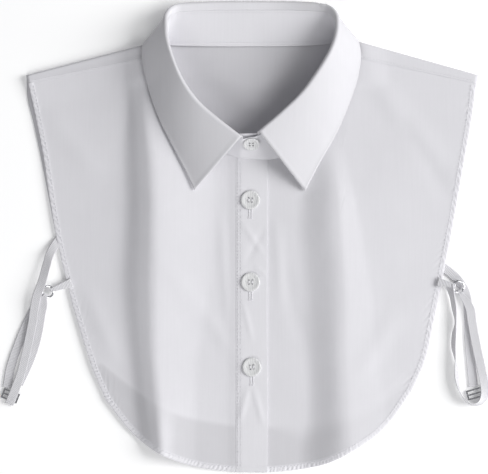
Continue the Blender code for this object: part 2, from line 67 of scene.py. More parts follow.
# Outlines in plan, x and y
ARMHOLE_FRONT_LEFT = (
    (-173.2, 123), (-168.5, 101.6), (-161.8, 68), (-156, 29.6), (-150.4, -2.4),
    (-141, -42.4), (-132, -74.4), (-121.6, -106.4), (-111.2, -130.4),
)
HEM_FRONT_LEFT = (
    (-111.2, -130.4), (-92.8, -154), (-73.6, -170), (-55.2, -178.8), (-32.8, -184.8),
    (-7.4, -188),
)
ARMHOLE_FRONT_RIGHT = (
    (184.8, 122.8), (182.4, 101.6), (178.4, 77.6), (170.6, 33.6), (164.6, 0),
    (157.6, -34.4), (151.2, -66.4), (144, -98.4), (133.6, -122.4),
)
HEM_FRONT_RIGHT = (
    (133.6, -122.4), (116.8, -146.4), (100.8, -161.6), (72.8, -178), (50.4, -184.6),
    (20.8, -188), (-3, -188),
)
ARMHOLE_BACK_LEFT = (
    (-174.8, 129.2), (-174, 111.2), (-169.6, 92.8), (-163.6, 64.8), (-158, 36),
    (-150, -4), (-139.6, -44), (-128, -78), (-114, -102),
)
HEM_BACK = (
    (-114, -102), (-84, -125), (-54.4, -142), (-9.6, -151), (22.4, -151.5),
    (56, -145), (100, -128), (130, -104),
)
ARMHOLE_BACK_RIGHT = (
    (186.4, 129.2), (181.4, 101.6), (177, 77.6), (169.2, 33.6), (163.2, 0),
    (156, -34.4), (148, -68), (130, -104),
)

# Stations round the collar from the left leaf's point to the right one: neck seam x, y and its rise
# over the panel; roll line x, y, z; outer edge x, y and its level, 1 over the front to 0 under the back
COLLAR_STATIONS = (
    (-4, 64.8, 2.8, -1.6, 80, 24, -40.4, 37.6, 1),
    (-24.8, 72, 1.4, -18.4, 92.8, 26, -46.8, 51.6, 1),
    (-44, 87.2, 1.2, -36, 108, 28.5, -57, 71.6, 1),
    (-59.2, 107.2, 2, -48.8, 125.6, 30.5, -67.6, 93.2, 1),
    (-68, 128.8, 2.3, -56.8, 144, 31, -75.8, 116, 1),
    (-70.6, 142, 1.2, -60.6, 159, 28, -81.4, 139, 1),
    (-69.6, 148.6, 1.2, -61.4, 168, 24.5, -81.8, 151, 1),
    (-66.6, 152.6, 1, -61.6, 174.8, 21, -79.8, 156.4, 0.5),
    (-64.4, 154.6, 0.9, -60.2, 179, 18, -76.5, 155.4, 0.04),
    (-61.6, 155, 0.9, -57, 182.8, 15, -70, 150.5, 0),
    (-52.6, 154.4, 0.9, -49.4, 186, 12, -55, 144.4, 0),
    (-26.4, 154, 0.9, -24, 187.6, 10, -28, 142, 0),
    (5.6, 154, 0.9, 5.6, 187.8, 10, 5.6, 141.4, 0),
    (37.6, 154.2, 0.9, 36, 187.6, 10, 39.2, 142, 0),
    (62.4, 155.4, 0.9, 58.2, 186, 12.4, 65, 144.8, 0),
    (71.4, 157.4, 0.9, 66, 183.4, 15, 79, 152, 0),
    (74.2, 157, 0.9, 69.6, 179.6, 18, 85.4, 157, 0.04),
    (76.4, 155, 1, 71.4, 175.4, 21, 88.8, 158.6, 0.5),
    (79.4, 151, 1.2, 71.6, 169.6, 24.5, 91.4, 152.6, 1),
    (80.4, 144.4, 1.2, 70.8, 161.6, 28, 92.2, 141, 1),
    (78.4, 131, 2.3, 66.4, 149, 31, 88.8, 123.6, 1),
    (71.2, 110, 2.3, 56.8, 132.6, 30.5, 81.6, 103.2, 1),
    (56.8, 90.4, 1.2, 44, 115, 28.5, 72.6, 82.4, 1),
    (36, 73.6, 1.2, 27.2, 98.8, 26.5, 60.2, 60.4, 1),
    (13.6, 65.2, 1.2, 9.6, 84, 25, 48, 36.8, 1),
)
CREST_RADIUS = 1.6
# Shares up the collar: of the stand, front and back, and of the fall's curve
STAND_SHARE_FRONT, STAND_SHARE_BACK = 0.86, 0.8
CENTRE_BACK_Y = 156.5
FALL_HUG = 0.12
FALL_KNEE = 0.6

# The button band on the left front, and what fastens it
BAND_LEFT, BAND_RIGHT = -7.1, 18.6
BAND_TOP = 64
BAND_BOTTOM = -188
BUTTON_RADIUS = 8
BUTTON_HOLE_RADIUS = 0.9
BUTTON_HOLE_SPREAD = 1.9
BUTTON_PLACES = ((4.2, 29.6), (4.4, -36), (5.4, -104))
COLLAR_BUTTON_RADIUS = 6.8

# Side straps: each row is x, y, z, the compass angle of the width, and its tilt
STRAP_WIDTH = 7
STRAP_CLOTH = 1
STRAP_GATHERED = 0.45
RING_RADIUS, RING_WIRE = 4.5, 0.9
RING_LEFT = (-157.6, -43.6, 2.5)
RING_RIGHT = (170.6, -39.6, 3.9)
TAB_LEFT = (-142.9, -38.2)
TAB_RIGHT = (158.3, -36.2)
STRAP_LEFT_UPPER = (
    (-151.2, -4.8, 1.6, -60, 0), (-155.8, -13.6, 4.4, -42, 10),
    (-158.6, -23.2, 5.6, -30, 15), (-162.2, -36, 6.2, -28, 10),
    (-166.4, -48, 5.2, -24, 0), (-168.4, -57.6, 4, -16, 0),
    (-169.8, -68, 3.2, -12, 0), (-172.6, -82, 3, -13, 0),
    (-176, -97, 3, -14, 0), (-179.4, -110, 3, -16, 0),
    (-183.4, -121, 3, -20, 0), (-186.8, -129.6, 2.8, -22, 0),
)
STRAP_LEFT_LOOP = (
    (-190.4, -120.6, 0.6, -14, 0), (-187.4, -104, 0.6, -16, 0),
    (-181.4, -86.4, 0.6, -18, 0), (-175.6, -72, 0.6, -22, 0),
    (-168.8, -58, 0.6, -30, 0), (-162.6, -50, 0.6, -36, 0),
)
STRAP_LEFT_RETURN = (
    (-161, -52.4, 3.7, -32, 0), (-163, -62, 2.2, -20, 0),
    (-165.4, -76, 0.9, -16, 0), (-169, -90, 0.6, -16, 0),
    (-174, -103, 0.6, -18, 0), (-181, -118, 0.6, -20, 0),
)
STRAP_RIGHT_UPPER = (
    (160.8, -25.9, 0.6, 55, 0), (170.4, -34.6, 0.6, 42, 0),
    (177, -47, 0.6, 18, 0), (178.6, -66, 0.6, 4, 0),
    (179, -81, 0.6, 6, 0), (180.4, -98, 0.6, 6, 0),
    (182.6, -119.6, 0.6, 10, 0),
)
# Where the straps go on under the hems and round the fittings
LEFT_START = ((-146.4, 0.2, 1, -62, 0), (-149.6, -3, 1.2, -60, 0))
LEFT_WRAP = ((-188, -132.2, 2.3, -22, 0), (-188.5, -133.5, 1.3, -22, 0),
             (-188, -132.2, 0.4, -22, 0), (-186.9, -129.4, 0.35, -22, 0))
RIGHT_START = ((155.8, -22.2, 1, 56, 0),)
RIGHT_LOOP = (
    (163.4, -38.6, 4.6, 20, 30), (165.6, -47.2, 4.4, 10, 58), (167.2, -56.8, 4, 6, 62),
    (168.4, -68, 4.1, 2, 84), (167.2, -78.4, 3.8, -4, 66), (166.8, -88, 3.8, -2, 66),
    (168, -97, 4.1, 6, 86), (168.8, -105.6, 3.9, 4, 112), (169.4, -114.4, 3.9, 8, 112),
    (171.2, -122.4, 4.1, 22, 96), (174.8, -129, 4.1, 44, 88), (179.6, -132.8, 4.1, 74, 86),
    (184.6, -133.6, 4, 100, 74), (189, -131.2, 3.6, 130, 48), (191.6, -125.2, 3.4, 164, 22),
    (191, -116, 3.2, 184, 8), (188.6, -104, 3, 190, 0), (186, -92, 3, 190, 0),
    (183.6, -80, 3, 190, 0), (181.6, -68.8, 3, 190, 0), (179.4, -56, 2.8, 194, 0),
)

# The main folds. Each row down a fold: the crest's x and y, the width of its steep left flank, the
# width of its long right flank, and its height
LEFT_FOLD = (
    (-84, 146, 18, 20, 1.6), (-82, 122, 20, 30, 4.2),
    (-79, 108, 22, 44, 6.2), (-77.6, 94, 24, 50, 7.4),
    (-73.4, 62, 31, 52, 8.9), (-71.6, 30, 32, 52, 9.2), (-72, -34, 36, 48, 9.2),
    (-72.2, -66, 33, 42, 8.2), (-71.6, -98, 28, 35, 7.4), (-68.4, -130, 28, 31, 8.4),
    (-66.6, -158, 26, 29, 8.8), (-65, -186, 26, 28, 8.2),
)
RIGHT_FOLD = (
    (70, 78, 18, 14, 0), (71.6, 54, 20, 18, 2.6), (74, 30, 33, 24, 6),
    (75, 6, 35, 30, 6.6), (77.6, -18, 36, 32, 6.6), (79.2, -50, 35, 38, 6.6),
    (78.6, -82, 33, 42, 6.8), (79.8, -114, 32, 48, 7), (81.8, -146, 34, 54, 7.4),
    (83, -170, 41, 52, 8.4),
)
LEFT_HELD, LEFT_FADE = 0.35, 64
RIGHT_HELD, RIGHT_FADE = 0.45, 95
# The left front's broad slope, and how far the fronts drop past the back's hem
BROAD_SLOPE = 1.5
LOW_STEP = 0.45

# Soft creases: from x, y to x, y, half width and height; troughs are below zero
CREASES = (
    (-69, -136, -66, -192, 7, 0.75),
    (100, 128, 154, 62, 13, 1.2),
    (118, 112, 168, 20, 10, -0.6),
    (-160, 100, -118, 52, 14, 0.7),
    (-66, -20, -28, -70, 12, 0.6),
    (-30, -62, -12, -92, 8, 0.5),
    (30, -20, 46, -90, 9, -0.5),
    (24, 20, 30, -60, 6, 0.5),
    (-20, 30, -13, -80, 5, 0.45),
    (120, -60, 92, -110, 12, 0.7),
    (-128, -40, -104, -96, 10, 0.6),
)
BAND_CREASES = (
    (-4, 14, 16, -16, 3.5, 0.35),
    (16, 8, 0, -22, 4, -0.3),
    (-2, -50, 6, -84, 3, 0.3),
    (3, -118, -5, -150, 3.5, 0.45),
    (6, -118, 15, -152, 3.5, 0.4),
    (17, -30, 8, -24, 3, 0.35),
)

# Real cloth is thinner than the solids' walls
POPLIN = 0.45
INTERFACED = 0.8
STAND_FINE = 0.6
ELASTIC = 0.85

# Seams and stitches
THREAD = 0.34
STITCH = 2
STITCH_PITCH = 2.7
STITCH_RISE = 0.22
STRIP_RISE = 0.42
SEAM_STITCH_IN = 1.6
HEM_STITCH_IN = 3.7
STAND_STITCHES = (0.06, 0.93)
BAND_STITCHES = (-5.6, -3.4)

# The fronts' cloth: how far it runs on under the band and the shoulder strip, and its rows
UNDER_BAND = BAND_LEFT + 0.7
UNDER_STRIP = 1.8
FINE_ROWS = 190
BAND_CLIMB, BAND_CLIMB_WIDTH = 0.45, 7
STRIP_LIFT = 0.36

# The folded hem, and the puckers that its stitches draw; -1 is the left front and 1 the right one
HEM_WIDTH = 4.6
HEM_RAISE = 0.12
HEM_LIFT = 0.19
HEM_TICK = {-1: 0.6, 1: 0.85}
HEM_SWELL = {-1: 0.15, 1: 0.27}
HEM_FALL = {-1: 2.2, 1: 3.8}
HEM_DEPTHS = (0, 0.2, 0.7, 1.4, 2.1, 2.8, 3.5, 4.2, 4.5, 4.7)
HEM_SUNK = 0.1
TICK_PITCH, TICK_CLOSES = 5.4, 2.4
TICK_WIDTH, TICK_NARROWS = 1.35, 0.65
SLANT = 1.3
BACK_SLANT = -1.3
PUCKERS = {-1: 0.14, 1: 0.2}
PUCKER_PITCH = 6.4
PUCKER_REACH = 10
BACK_PUCKERS = 0.12

# The stand: how its lapped end runs on along x, with how far its top and its seam move in y and z, how
# far its other end runs on under that, and its heights, close together at the seam's ridge
LAP_RUN = (
    (0, 0, 0, 0), (6, 1.4, -0.3, 0.1), (11.8, 2.6, -0.6, 0.3),
    (20, 8.2, -0.5, 0.7), (26, 12.8, 0.4, 1), (32, 17.2, 1.6, 1.2),
)
LAP_UNDER = 15
LAP_STATIONS = 18
STAND_HEIGHTS = (0, 0.012, 0.025, 0.038, 0.05, *np.linspace(0.07, 0.93, 15), 0.988, 1)
SEAM_RIDGE, RIDGE_AT, RIDGE_HALF = 0.4, 0.034, 0.024

# The fall's lifted margin, and the bow of its leaves
MARGIN, MARGIN_LIFT, LEAF_BOW = 3.2, 0.45, 0.7

# The band: its height over the fronts, its edges and its slack
BAND_LIFT = 0.75
BAND_TRIM = 0.8
BAND_SUNK = 0.12
BAND_EDGE_DROP = 0.32
BAND_RIPPLE = 0.13
BAND_HEM = 0.3
BUTTON_DIP = 0.15
BUTTON_DIP_RADIUS = 6.5

# The fine buttons: how much smaller than the solids, how thick, and the stand's place and share up it
BUTTON_TRIM = 0.4
BUTTON_FINE = 1.35
COLLAR_BUTTON_X, COLLAR_BUTTON_SHARE, COLLAR_BUTTON_OUT = 5, 0.68, 0.6
BUTTON_PROFILE = (
    (0, 0.02), (0.7, 0), (0.9, 0.1), (0.985, 0.32), (1, 0.55), (0.985, 0.78), (0.94, 0.95),
    (0.88, 1), (0.8, 0.98), (0.72, 0.88), (0.64, 0.74), (0.54, 0.68), (0, 0.64),
)

# Tones: linear colours, how bright the cloth is where fewer or more layers lie under it, and painted
# light and shade on the collar, the back in the neck and the hems
COTTON = (0.736, 0.729, 0.759)
COTTON_TURNED = (0.775, 0.768, 0.798)
WEAVE = 0.0015
RIB_SCALE = 262
# The back inside the neck is darker: one layer of cloth, and painted shade from the collar's walls
BACK_ONE_LAYER_AND_PAINTED_SHADE = 0.87
ONE_LAYER_FRONT = 0.885
# Folded hems are brighter for their doubled cloth; the right one is painted brighter still (painted
# light)
HEM_DOUBLED_AND_PAINTED_LIGHT = {-1: 1.05, 1: 1.11}
# Painted light: the stand's front is painted brighter
STAND_PAINTED_LIGHT_FRONT = 0.08
# Painted shade darkens the whole collar fall, and a painted highlight brightens its top back fold
FALL_PAINTED_SHADE, FALL_PAINTED_LIGHT_BACK = 0.865, 0.12


def smooth(value):
    """0 below 0, 1 above 1, an S curve between."""
    held = np.clip(value, 0.0, 1.0)
    return held * held * (3.0 - 2.0 * held)


def through(points, count):
    """A smooth curve through the points, as count points."""
    known = np.array(points, float)
    ends = np.vstack([2 * known[0] - known[1], known, 2 * known[-1] - known[-2]])
    places = np.linspace(0, len(known) - 1, count)
    found = []
    for place in places:
        i = min(int(place), len(known) - 2)
        t = place - i
        a, b, c, d = ends[i : i + 4]
        found.append(
            0.5 * (2 * b + (c - a) * t + (2 * a - 5 * b + 4 * c - d) * t**2
                   + (3 * b - a - 3 * c + d) * t**3)
        )
    return np.array(found)


def run_along(line):
    """How far along a line each of its points is."""
    return np.concatenate([[0], np.cumsum(np.linalg.norm(np.diff(line, axis=0), axis=1))])


def even(points, count):
    """The same line as count points, evenly spaced along it."""
    run = run_along(points)
    at = np.linspace(0, run[-1], count)
    return np.stack([np.interp(at, run, points[:, k]) for k in range(points.shape[1])], axis=1)


def at_x(points, keys):
    """Points of a line that runs one way in x, at the given x values."""
    order = np.argsort(points[:, 0])
    return np.stack([keys, np.interp(keys, points[order, 0], points[order, 1])], axis=1)


def patch(top, bottom, start, end):
    """A net of points between four edges: top and bottom run start to end, the sides top to bottom."""
    u = np.linspace(0, 1, len(top))[None, :, None]
    v = np.linspace(0, 1, len(start))[:, None, None]
    across = (1 - v) * top[None] + v * bottom[None]
    down = (1 - u) * start[:, None] + u * end[:, None]
    corners = (
        (1 - u) * (1 - v) * top[0] + u * (1 - v) * top[-1]
        + (1 - u) * v * bottom[0] + u * v * bottom[-1]
    )
    return across + down - corners


def line_y(line, x):
    """A straight line's y at this x."""
    (x0, y0), (x1, y1) = line
    return y0 + (y1 - y0) * (x - x0) / (x1 - x0)


def fold_y(x):
    """Where the shoulders fold over, at this x."""
    return np.where(x < CENTRE, line_y(FOLD_LEFT, x), line_y(FOLD_RIGHT, x))


def back_height(x, y):
    """Mid-height of the back: flat, and raised where the collar's fall lies under it."""
    over_fall = smooth((FALL_HALF - abs(x - CENTRE)) / 20) * smooth((y - FALL_EDGE_Y) / 12)
    return CLOTH / 2 + LAYER * over_fall


STEPS = np.linspace(0, 1, 101)


def ramp(*stops):
    """The share climbed at those even steps, from slopes given at places from 0 to 1."""
    slope = np.interp(STEPS, *zip(*stops))
    climbed = np.cumsum((slope + np.roll(slope, 1)) / 2)
    return (climbed - climbed[0]) / (climbed[-1] - climbed[0])


LEFT_RISE = ramp(
    (0, 0), (0.14, 0.08), (0.22, 0.25), (0.3, 0.55), (0.37, 0.85), (0.44, 1.1), (0.5, 1.15),
    (0.57, 1.05), (0.64, 0.88), (0.75, 0.82), (0.83, 0.75), (0.9, 0.42), (0.95, 0.1), (1, 0),
)
LEFT_FALL = 1 - ramp((0, 0), (0.06, 0.85), (0.15, 1), (0.5, 0.8), (0.85, 0.5), (1, 0))
RIGHT_RISE = ramp((0, 0), (0.3, 0.85), (0.45, 1), (0.6, 0.95), (0.75, 0.7), (0.9, 0.2), (1, 0))
RIGHT_FALL = 1 - ramp((0, 0), (0.06, 0.85), (0.14, 1.1), (0.52, 1), (0.66, 0.3), (1, 0))


def fold(rows, rise, fall, x, y, held, fade):
    """One soft fold: a share of its height, held, falls away only slowly, over fade."""
    table = np.array(rows)[::-1]
    crest, left, right, height = (np.interp(y, table[:, 1], table[:, k]) for k in (0, 2, 3, 4))
    away = x - crest
    up = np.interp(1 + away / left, STEPS, rise)
    down = (1 - held) * np.interp(away / right, STEPS, fall) + held * smooth(1 - away / fade)
    return height * np.where(away < 0, up, down)


def folds(x, y):
    """The soft folds that run from the collar to the hem."""
    broad = smooth(1 - abs(x + 80) / 66) * smooth((110 - y) / 40) * smooth((y + 185) / 60)
    return (
        fold(LEFT_FOLD, LEFT_RISE, LEFT_FALL, x, y, LEFT_HELD, LEFT_FADE)
        + fold(RIGHT_FOLD, RIGHT_RISE, RIGHT_FALL, x, y, RIGHT_HELD, RIGHT_FADE)
        + BROAD_SLOPE * broad
    )


HEM_LINE = through(HEM_BACK, 60)


def at_hem(x):
    """The back's hem at this x."""
    return np.interp(x, HEM_LINE[:, 0], HEM_LINE[:, 1])


def front_height(x, y):
    """Mid-height of the fronts, which lie on the back and drop a little past its hem."""
    puff = smooth(1 - (fold_y(x) - y) / SHOULDER_PUFF)
    past_back = smooth((at_hem(x) - y - 1) / 14)
    return (
        back_height(x, y) + LAYER + (2 * FOLD_RADIUS - LAYER) * puff + folds(x, y)
        - LOW_STEP * past_back
    )


def spread(stops, counts):
    """Values from stop to stop, with this many steps in each stretch."""
    found = [np.linspace(a, b, n, endpoint=False) for a, b, n in zip(stops, stops[1:], counts)]
    return np.concatenate([*found, [stops[-1]]])


def neckline():
    """The neck seam in plan, as a dense line."""
    return through([row[:2] for row in COLLAR_STATIONS], 200)


def collar_sections(steps):
    """The collar's stations, each as its neck point, roll point, edge point and edge level."""
    found = []
    for row in through(COLLAR_STATIONS, steps + 1):
        x, y, rise, roll_x, roll_y, roll_z, edge_x, edge_y, level = row
        level = float(np.clip(level, 0, 1))
        on_front = smooth((CENTRE_BACK_Y - y) / 4)
        low, high = back_height(x, y), front_height(x, min(y, fold_y(x) - FOLD_RADIUS))
        neck = np.array([x, y, low + (high - low) * on_front + rise])
        over = front_height(edge_x, min(edge_y, fold_y(edge_x) - FOLD_RADIUS)) + LAYER + GAP
        edge = np.array([edge_x, edge_y, CLOTH / 2 + (over - CLOTH / 2) * level])
        found.append((neck, np.array([roll_x, roll_y, roll_z]), edge, level))
    return found


def unit(vector):
    """The same direction, one long."""
    return vector / np.linalg.norm(vector)


def stand_top(neck, roll, level):
    """Where the stand ends under the roll."""
    share = STAND_SHARE_BACK + (STAND_SHARE_FRONT - STAND_SHARE_BACK) * smooth(level)
    return neck + (roll - neck) * share


def crease_height(rows, x, y):
    """The soft creases' height at these plan points."""
    total = 0.0 * x
    for x0, y0, x1, y1, half, height in rows:
        along = np.array([x1 - x0, y1 - y0])
        length = np.linalg.norm(along)
        along = along / length
        run = (x - x0) * along[0] + (y - y0) * along[1]
        off = (x - x0) * along[1] - (y - y0) * along[0]
        taper = smooth(np.minimum(run + half, length + half - run) / (0.35 * length + half))
        total = total + height * taper * np.exp(-((off / half) ** 2) * 1.8)
    return total


def front_cloth(side, x, y):
    """Mid-height of a front with its creases. Side -1 is the left one, which climbs to the band."""
    climb = BAND_CLIMB * smooth((x - BAND_LEFT) / BAND_CLIMB_WIDTH + 1) if side < 0 else 0.0
    return front_height(x, y) + climb + crease_height(CREASES, x, y)


def strip_top(x, y):
    """The top of the shoulder strip at its forward seam."""
    return front_height(x, y) + POPLIN / 2 + STRIP_RISE


def band_height(x, y):
    """Mid-height of the button band, before its creases."""
    return front_height(x, y) + BAND_LIFT


def band_top(x, y):
    """The height of the stitches on the band, which are drawn into its cloth."""
    return band_height(x, y) + crease_height(BAND_CREASES, x, y) + INTERFACED / 2 - BAND_SUNK


def nearest(points, line):
    """For plan points: the distance to a line and how far along it the nearest place is."""
    run = run_along(line)
    flat = points.reshape(-1, 2)
    best = np.full(len(flat), 1e9)
    place = np.zeros(len(flat))
    for a, b, start, end in zip(line, line[1:], run, run[1:]):
        t = np.clip(((flat - a) @ (b - a)) / max((end - start) ** 2, 1e-9), 0, 1)
        gap = np.hypot(*(flat - a - t[:, None] * (b - a)).T)
        closer = gap < best
        best = np.where(closer, gap, best)
        place = np.where(closer, start + t * (end - start), place)
    return best.reshape(points.shape[:-1]), place.reshape(points.shape[:-1])


def hem_form(gap, place, strength, slant):
    """The rolled hem and the slanting puckers that its stitches draw into the cloth."""
    roll = HEM_RAISE * smooth((HEM_WIDTH + 0.6 - gap) / 2.4) * (0.5 + 0.5 * smooth(gap / 0.9))
    drift = 3.1 * np.sin(place / 23) + 2.2 * np.sin(place / 9.1 + 1) + 1.2 * np.sin(place / 5.3)
    turn = 2 * math.pi * (place - slant * gap + drift) / PUCKER_PITCH
    wave = 0.7 * np.sin(turn) + 0.45 * np.sin(1.7 * turn + 0.9) * np.sin(place / 17)
    uneven = 0.7 + 0.3 * np.sin(place / 31 + 0.7) * np.sin(place / 12.7)
    fade = np.exp(-np.maximum(gap - HEM_WIDTH, 0) / (PUCKER_REACH * (0.2 + 0.25 * uneven)))
    return roll + strength * wave * uneven * fade * smooth(gap / 1.5 + 0.35)


def placed(name, mesh):
    """An object in the scene, shaded smooth, that rides on the root."""
    mesh.shade_smooth()
    made = bpy.data.objects.new(name, mesh)
    bpy.context.scene.collection.objects.link(made)
    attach(made, "root")
    return made


def shell(name, nets, thickness, material):
    """A thin cloth wall through nets of points at its mid-surface, with UVs in metres."""
    build = bmesh.new()
    layer = build.loops.layers.uv.new("UVMap")
    for net in nets:
        across, down = (
            np.cumsum(np.insert(np.linalg.norm(np.diff(net, axis=way), axis=2), 0, 0, axis=way), axis=way)
            for way in (1, 0)
        )
        corners = [[build.verts.new(point * MM) for point in row] for row in net]
        for j in range(len(net) - 1):
            for i in range(len(net[0]) - 1):
                places = ((j, i), (j + 1, i), (j + 1, i + 1), (j, i + 1))
                face = build.faces.new([corners[a][b] for a, b in places])
                for loop, (a, b) in zip(face.loops, places):
                    loop[layer].uv = (across[a, b] * MM, down[a, b] * MM)
    bmesh.ops.remove_doubles(build, verts=build.verts, dist=0.003 * MM)
    bmesh.ops.recalc_face_normals(build, faces=build.faces)
    mesh = bpy.data.meshes.new(name)
    build.to_mesh(mesh)
    build.free()
    mesh.materials.append(material)
    made = placed(name, mesh)
    wall = made.modifiers.new("wall", "SOLIDIFY")
    wall.thickness = thickness * MM
    wall.offset = 0
    wall.use_even_offset = True
    return made


def tint(piece, shade=lambda x, y: np.ones_like(x)):
    """Stores a tone at each point, from plan points in mm: how much light the layers under the cloth take
    or give back, and painted light and shade where a part has it.
    """
    mesh = piece.data
    spots = np.empty(len(mesh.vertices) * 3)
    mesh.vertices.foreach_get("co", spots)
    spots = spots.reshape(-1, 3) / MM
    value = shade(spots[:, 0], spots[:, 1])
    colours = np.stack([value, value, value, np.ones_like(value)], axis=1)
    layer = mesh.color_attributes.new("layers_and_painted_light", "FLOAT_COLOR", "POINT")
    layer.data.foreach_set("color", colours.ravel().astype(np.float32))


def back_tone_and_painted_shade(x, y):
    """The back seen through the neck is darker: one layer of cloth, and painted shade where the collar's
    walls shade it.
    """
    return BACK_ONE_LAYER_AND_PAINTED_SHADE + (1 - BACK_ONE_LAYER_AND_PAINTED_SHADE) * smooth((abs(x - CENTRE) - 84) / 10)


def front_tone(side, x, y, edge):
    """A front is brighter over the back, most at the back's hem, and where it is folded at its own, with
    painted light making the right front's hem brighter still.
    """
    soft = smooth((x - 14) / 36)
    over_back = smooth((y - at_hem(x) + 8 * soft) / (5 + 13 * soft) + 0.5)
    hem_line = (1 - soft) * np.exp(-(((y - at_hem(x) - 2.2) / 2.4) ** 2))
    raised = 0.7 * smooth((folds(x, y) - 5.5) / 2.5) * (x < CENTRE) + 0.65 * smooth((x - 70) / 14)
    tone = 1 - (1 - ONE_LAYER_FRONT) * (1 - raised) * (1 - over_back) + 0.012 * hem_line
    gap, _ = nearest(np.stack([x, y], axis=-1), edge)
    # The hem's doubled cloth brightens it, and painted light brightens the right hem more
    return tone + (HEM_DOUBLED_AND_PAINTED_LIGHT[side] - tone) * smooth(HEM_WIDTH + 0.4 - gap)


def node_at(tree, kind, **values):
    """A new node, with these settings and these values on its sockets."""
    made = tree.nodes.new(kind)
    for key, value in values.items():
        socket = key.replace("_", " ")
        if socket in made.inputs:
            made.inputs[socket].default_value = value
        else:
            setattr(made, key, value)
    return made


def material(name, **values):
    """A new material, its node tree and its shader, with these values on the shader's own sockets."""
    made = bpy.data.materials.new(name)
    made.use_nodes = True
    shader = made.node_tree.nodes["Principled BSDF"]
    for key, value in values.items():
        shader.inputs[key.replace("_", " ")].default_value = value
    return made, made.node_tree, shader


def texture(tree, kind, place, **values):
    """A texture's grey value over these coordinates."""
    made = node_at(tree, kind, **values)
    if place:
        tree.links.new(place, made.inputs["Vector"])
    return made.outputs["Fac"]


def computed(tree, operation, first, second):
    made = node_at(tree, "ShaderNodeMath", operation=operation)
    tree.links.new(first, made.inputs[0])
    tree.links.new(second, made.inputs[1])
    return made.outputs[0]


def blend(tree, factor, low, high):
    """A colour between low and high."""
    made = node_at(tree, "ShaderNodeMix", data_type="RGBA", A=(*low, 1), B=(*high, 1))
    tree.links.new(factor, made.inputs["Factor"])
    return made.outputs["Result"]


def multiplied(tree, colour, shade):
    made = node_at(tree, "ShaderNodeMix", data_type="RGBA", blend_type="MULTIPLY", Factor=1.0)
    tree.links.new(colour, made.inputs["A"])
    tree.links.new(shade, made.inputs["B"])
    return made.outputs["Result"]


def bump(tree, shader, height, strength, distance):
    made = node_at(tree, "ShaderNodeBump", Strength=strength, Distance=distance)
    tree.links.new(height, made.inputs["Height"])
    tree.links.new(made.outputs["Normal"], shader.inputs["Normal"])


def ranged(tree, value, **ends):
    made = node_at(tree, "ShaderNodeMapRange", **ends)
    tree.links.new(value, made.inputs["Value"])
    return made.outputs["Result"]


def cloth_material(name, colour, tone):
    """Plain-woven cloth: crossed thread waves for bump, soft unevenness and slubs in its tone, times the
    stored tone with its painted light and shade.
    """
    made, tree, shader = material(
        name, Roughness=0.85, Sheen_Weight=0.25, Sheen_Roughness=0.45, Specular_IOR_Level=0.3
    )
    uv = node_at(tree, "ShaderNodeUVMap", uv_map="UVMap").outputs["UV"]
    place = node_at(tree, "ShaderNodeTexCoord").outputs["Object"]
    warp, weft = (
        texture(tree, "ShaderNodeTexWave", uv, bands_direction=way, Scale=1 / WEAVE, Distortion=0.6,
                Detail=1.0, Detail_Scale=0.4)
        for way in ("X", "Y")
    )
    grain = texture(tree, "ShaderNodeTexNoise", place, Scale=900.0, Detail=3.0)
    woven = computed(tree, "ADD", computed(tree, "MULTIPLY", warp, weft), grain)
    bump(tree, shader, woven, 0.25, 0.00012)
    cloudy = texture(tree, "ShaderNodeTexNoise", place, Scale=26.0, Detail=4.0, Roughness=0.6)
    uneven = blend(
        tree, cloudy, [c * (1 - tone) for c in colour], [min(1, c * (1 + tone)) for c in colour]
    )
    drawn = node_at(tree, "ShaderNodeMapping", Scale=(700.0, 26.0, 26.0))
    tree.links.new(place, drawn.inputs["Vector"])
    streaks = texture(tree, "ShaderNodeTexNoise", drawn.outputs["Vector"], Scale=1.0, Detail=3.0)
    slub = ranged(tree, streaks, From_Min=0.3, From_Max=0.7, To_Min=0.98, To_Max=1.0)
    # The stored tone: the layers under the cloth, and painted light and shade
    layers_and_painted_light = node_at(tree, "ShaderNodeVertexColor", layer_name="layers_and_painted_light").outputs["Color"]
    worn = multiplied(tree, multiplied(tree, uneven, slub), layers_and_painted_light)
    tree.links.new(worn, shader.inputs["Base Color"])
    return made


def elastic_material():
    """Woven elastic: close ribs across the strap, with painted shade that darkens the troughs between the
    ribs.
    """
    made, tree, shader = material("ribbed_elastic", Roughness=0.62, Sheen_Weight=0.2)
    uv = node_at(tree, "ShaderNodeUVMap", uv_map="UVMap").outputs["UV"]
    ribs = texture(tree, "ShaderNodeTexWave", uv, bands_direction="Y", Scale=RIB_SCALE, Distortion=0.8,
                   Detail_Scale=0.6)
    bump(tree, shader, ribs, 0.6, 0.0003)
    # Painted shade: the tone follows the ribs' height, darker in the troughs
    tone = blend(tree, ribs, (0.62, 0.615, 0.64), (0.79, 0.785, 0.81))
    tree.links.new(tone, shader.inputs["Base Color"])
    return made


def pearl_material():
    """Milky shirt button with faint cloudy bands."""
    made, tree, shader = material("pearl_button", Roughness=0.3, Coat_Weight=0.35, Coat_Roughness=0.15)
    place = node_at(tree, "ShaderNodeTexCoord").outputs["Object"]
    swirl = texture(tree, "ShaderNodeTexWave", place, Scale=160.0, Distortion=9.0, Detail=3.0,
                    Detail_Scale=1.4)
    tone = blend(tree, swirl, (0.66, 0.665, 0.67), (0.8, 0.8, 0.8))
    tree.links.new(tone, shader.inputs["Base Color"])
    return made


def plated_material():
    """Plated metal with small scratches."""
    made, tree, shader = material("plated_fitting", Metallic=1.0)
    place = node_at(tree, "ShaderNodeTexCoord").outputs["Object"]
    marks = texture(tree, "ShaderNodeTexNoise", place, Scale=700.0, Detail=5.0)
    tree.links.new(ranged(tree, marks, To_Min=0.16, To_Max=0.4), shader.inputs["Roughness"])
    tone = blend(tree, marks, (0.55, 0.55, 0.57), (0.78, 0.78, 0.8))
    tree.links.new(tone, shader.inputs["Base Color"])
    return made


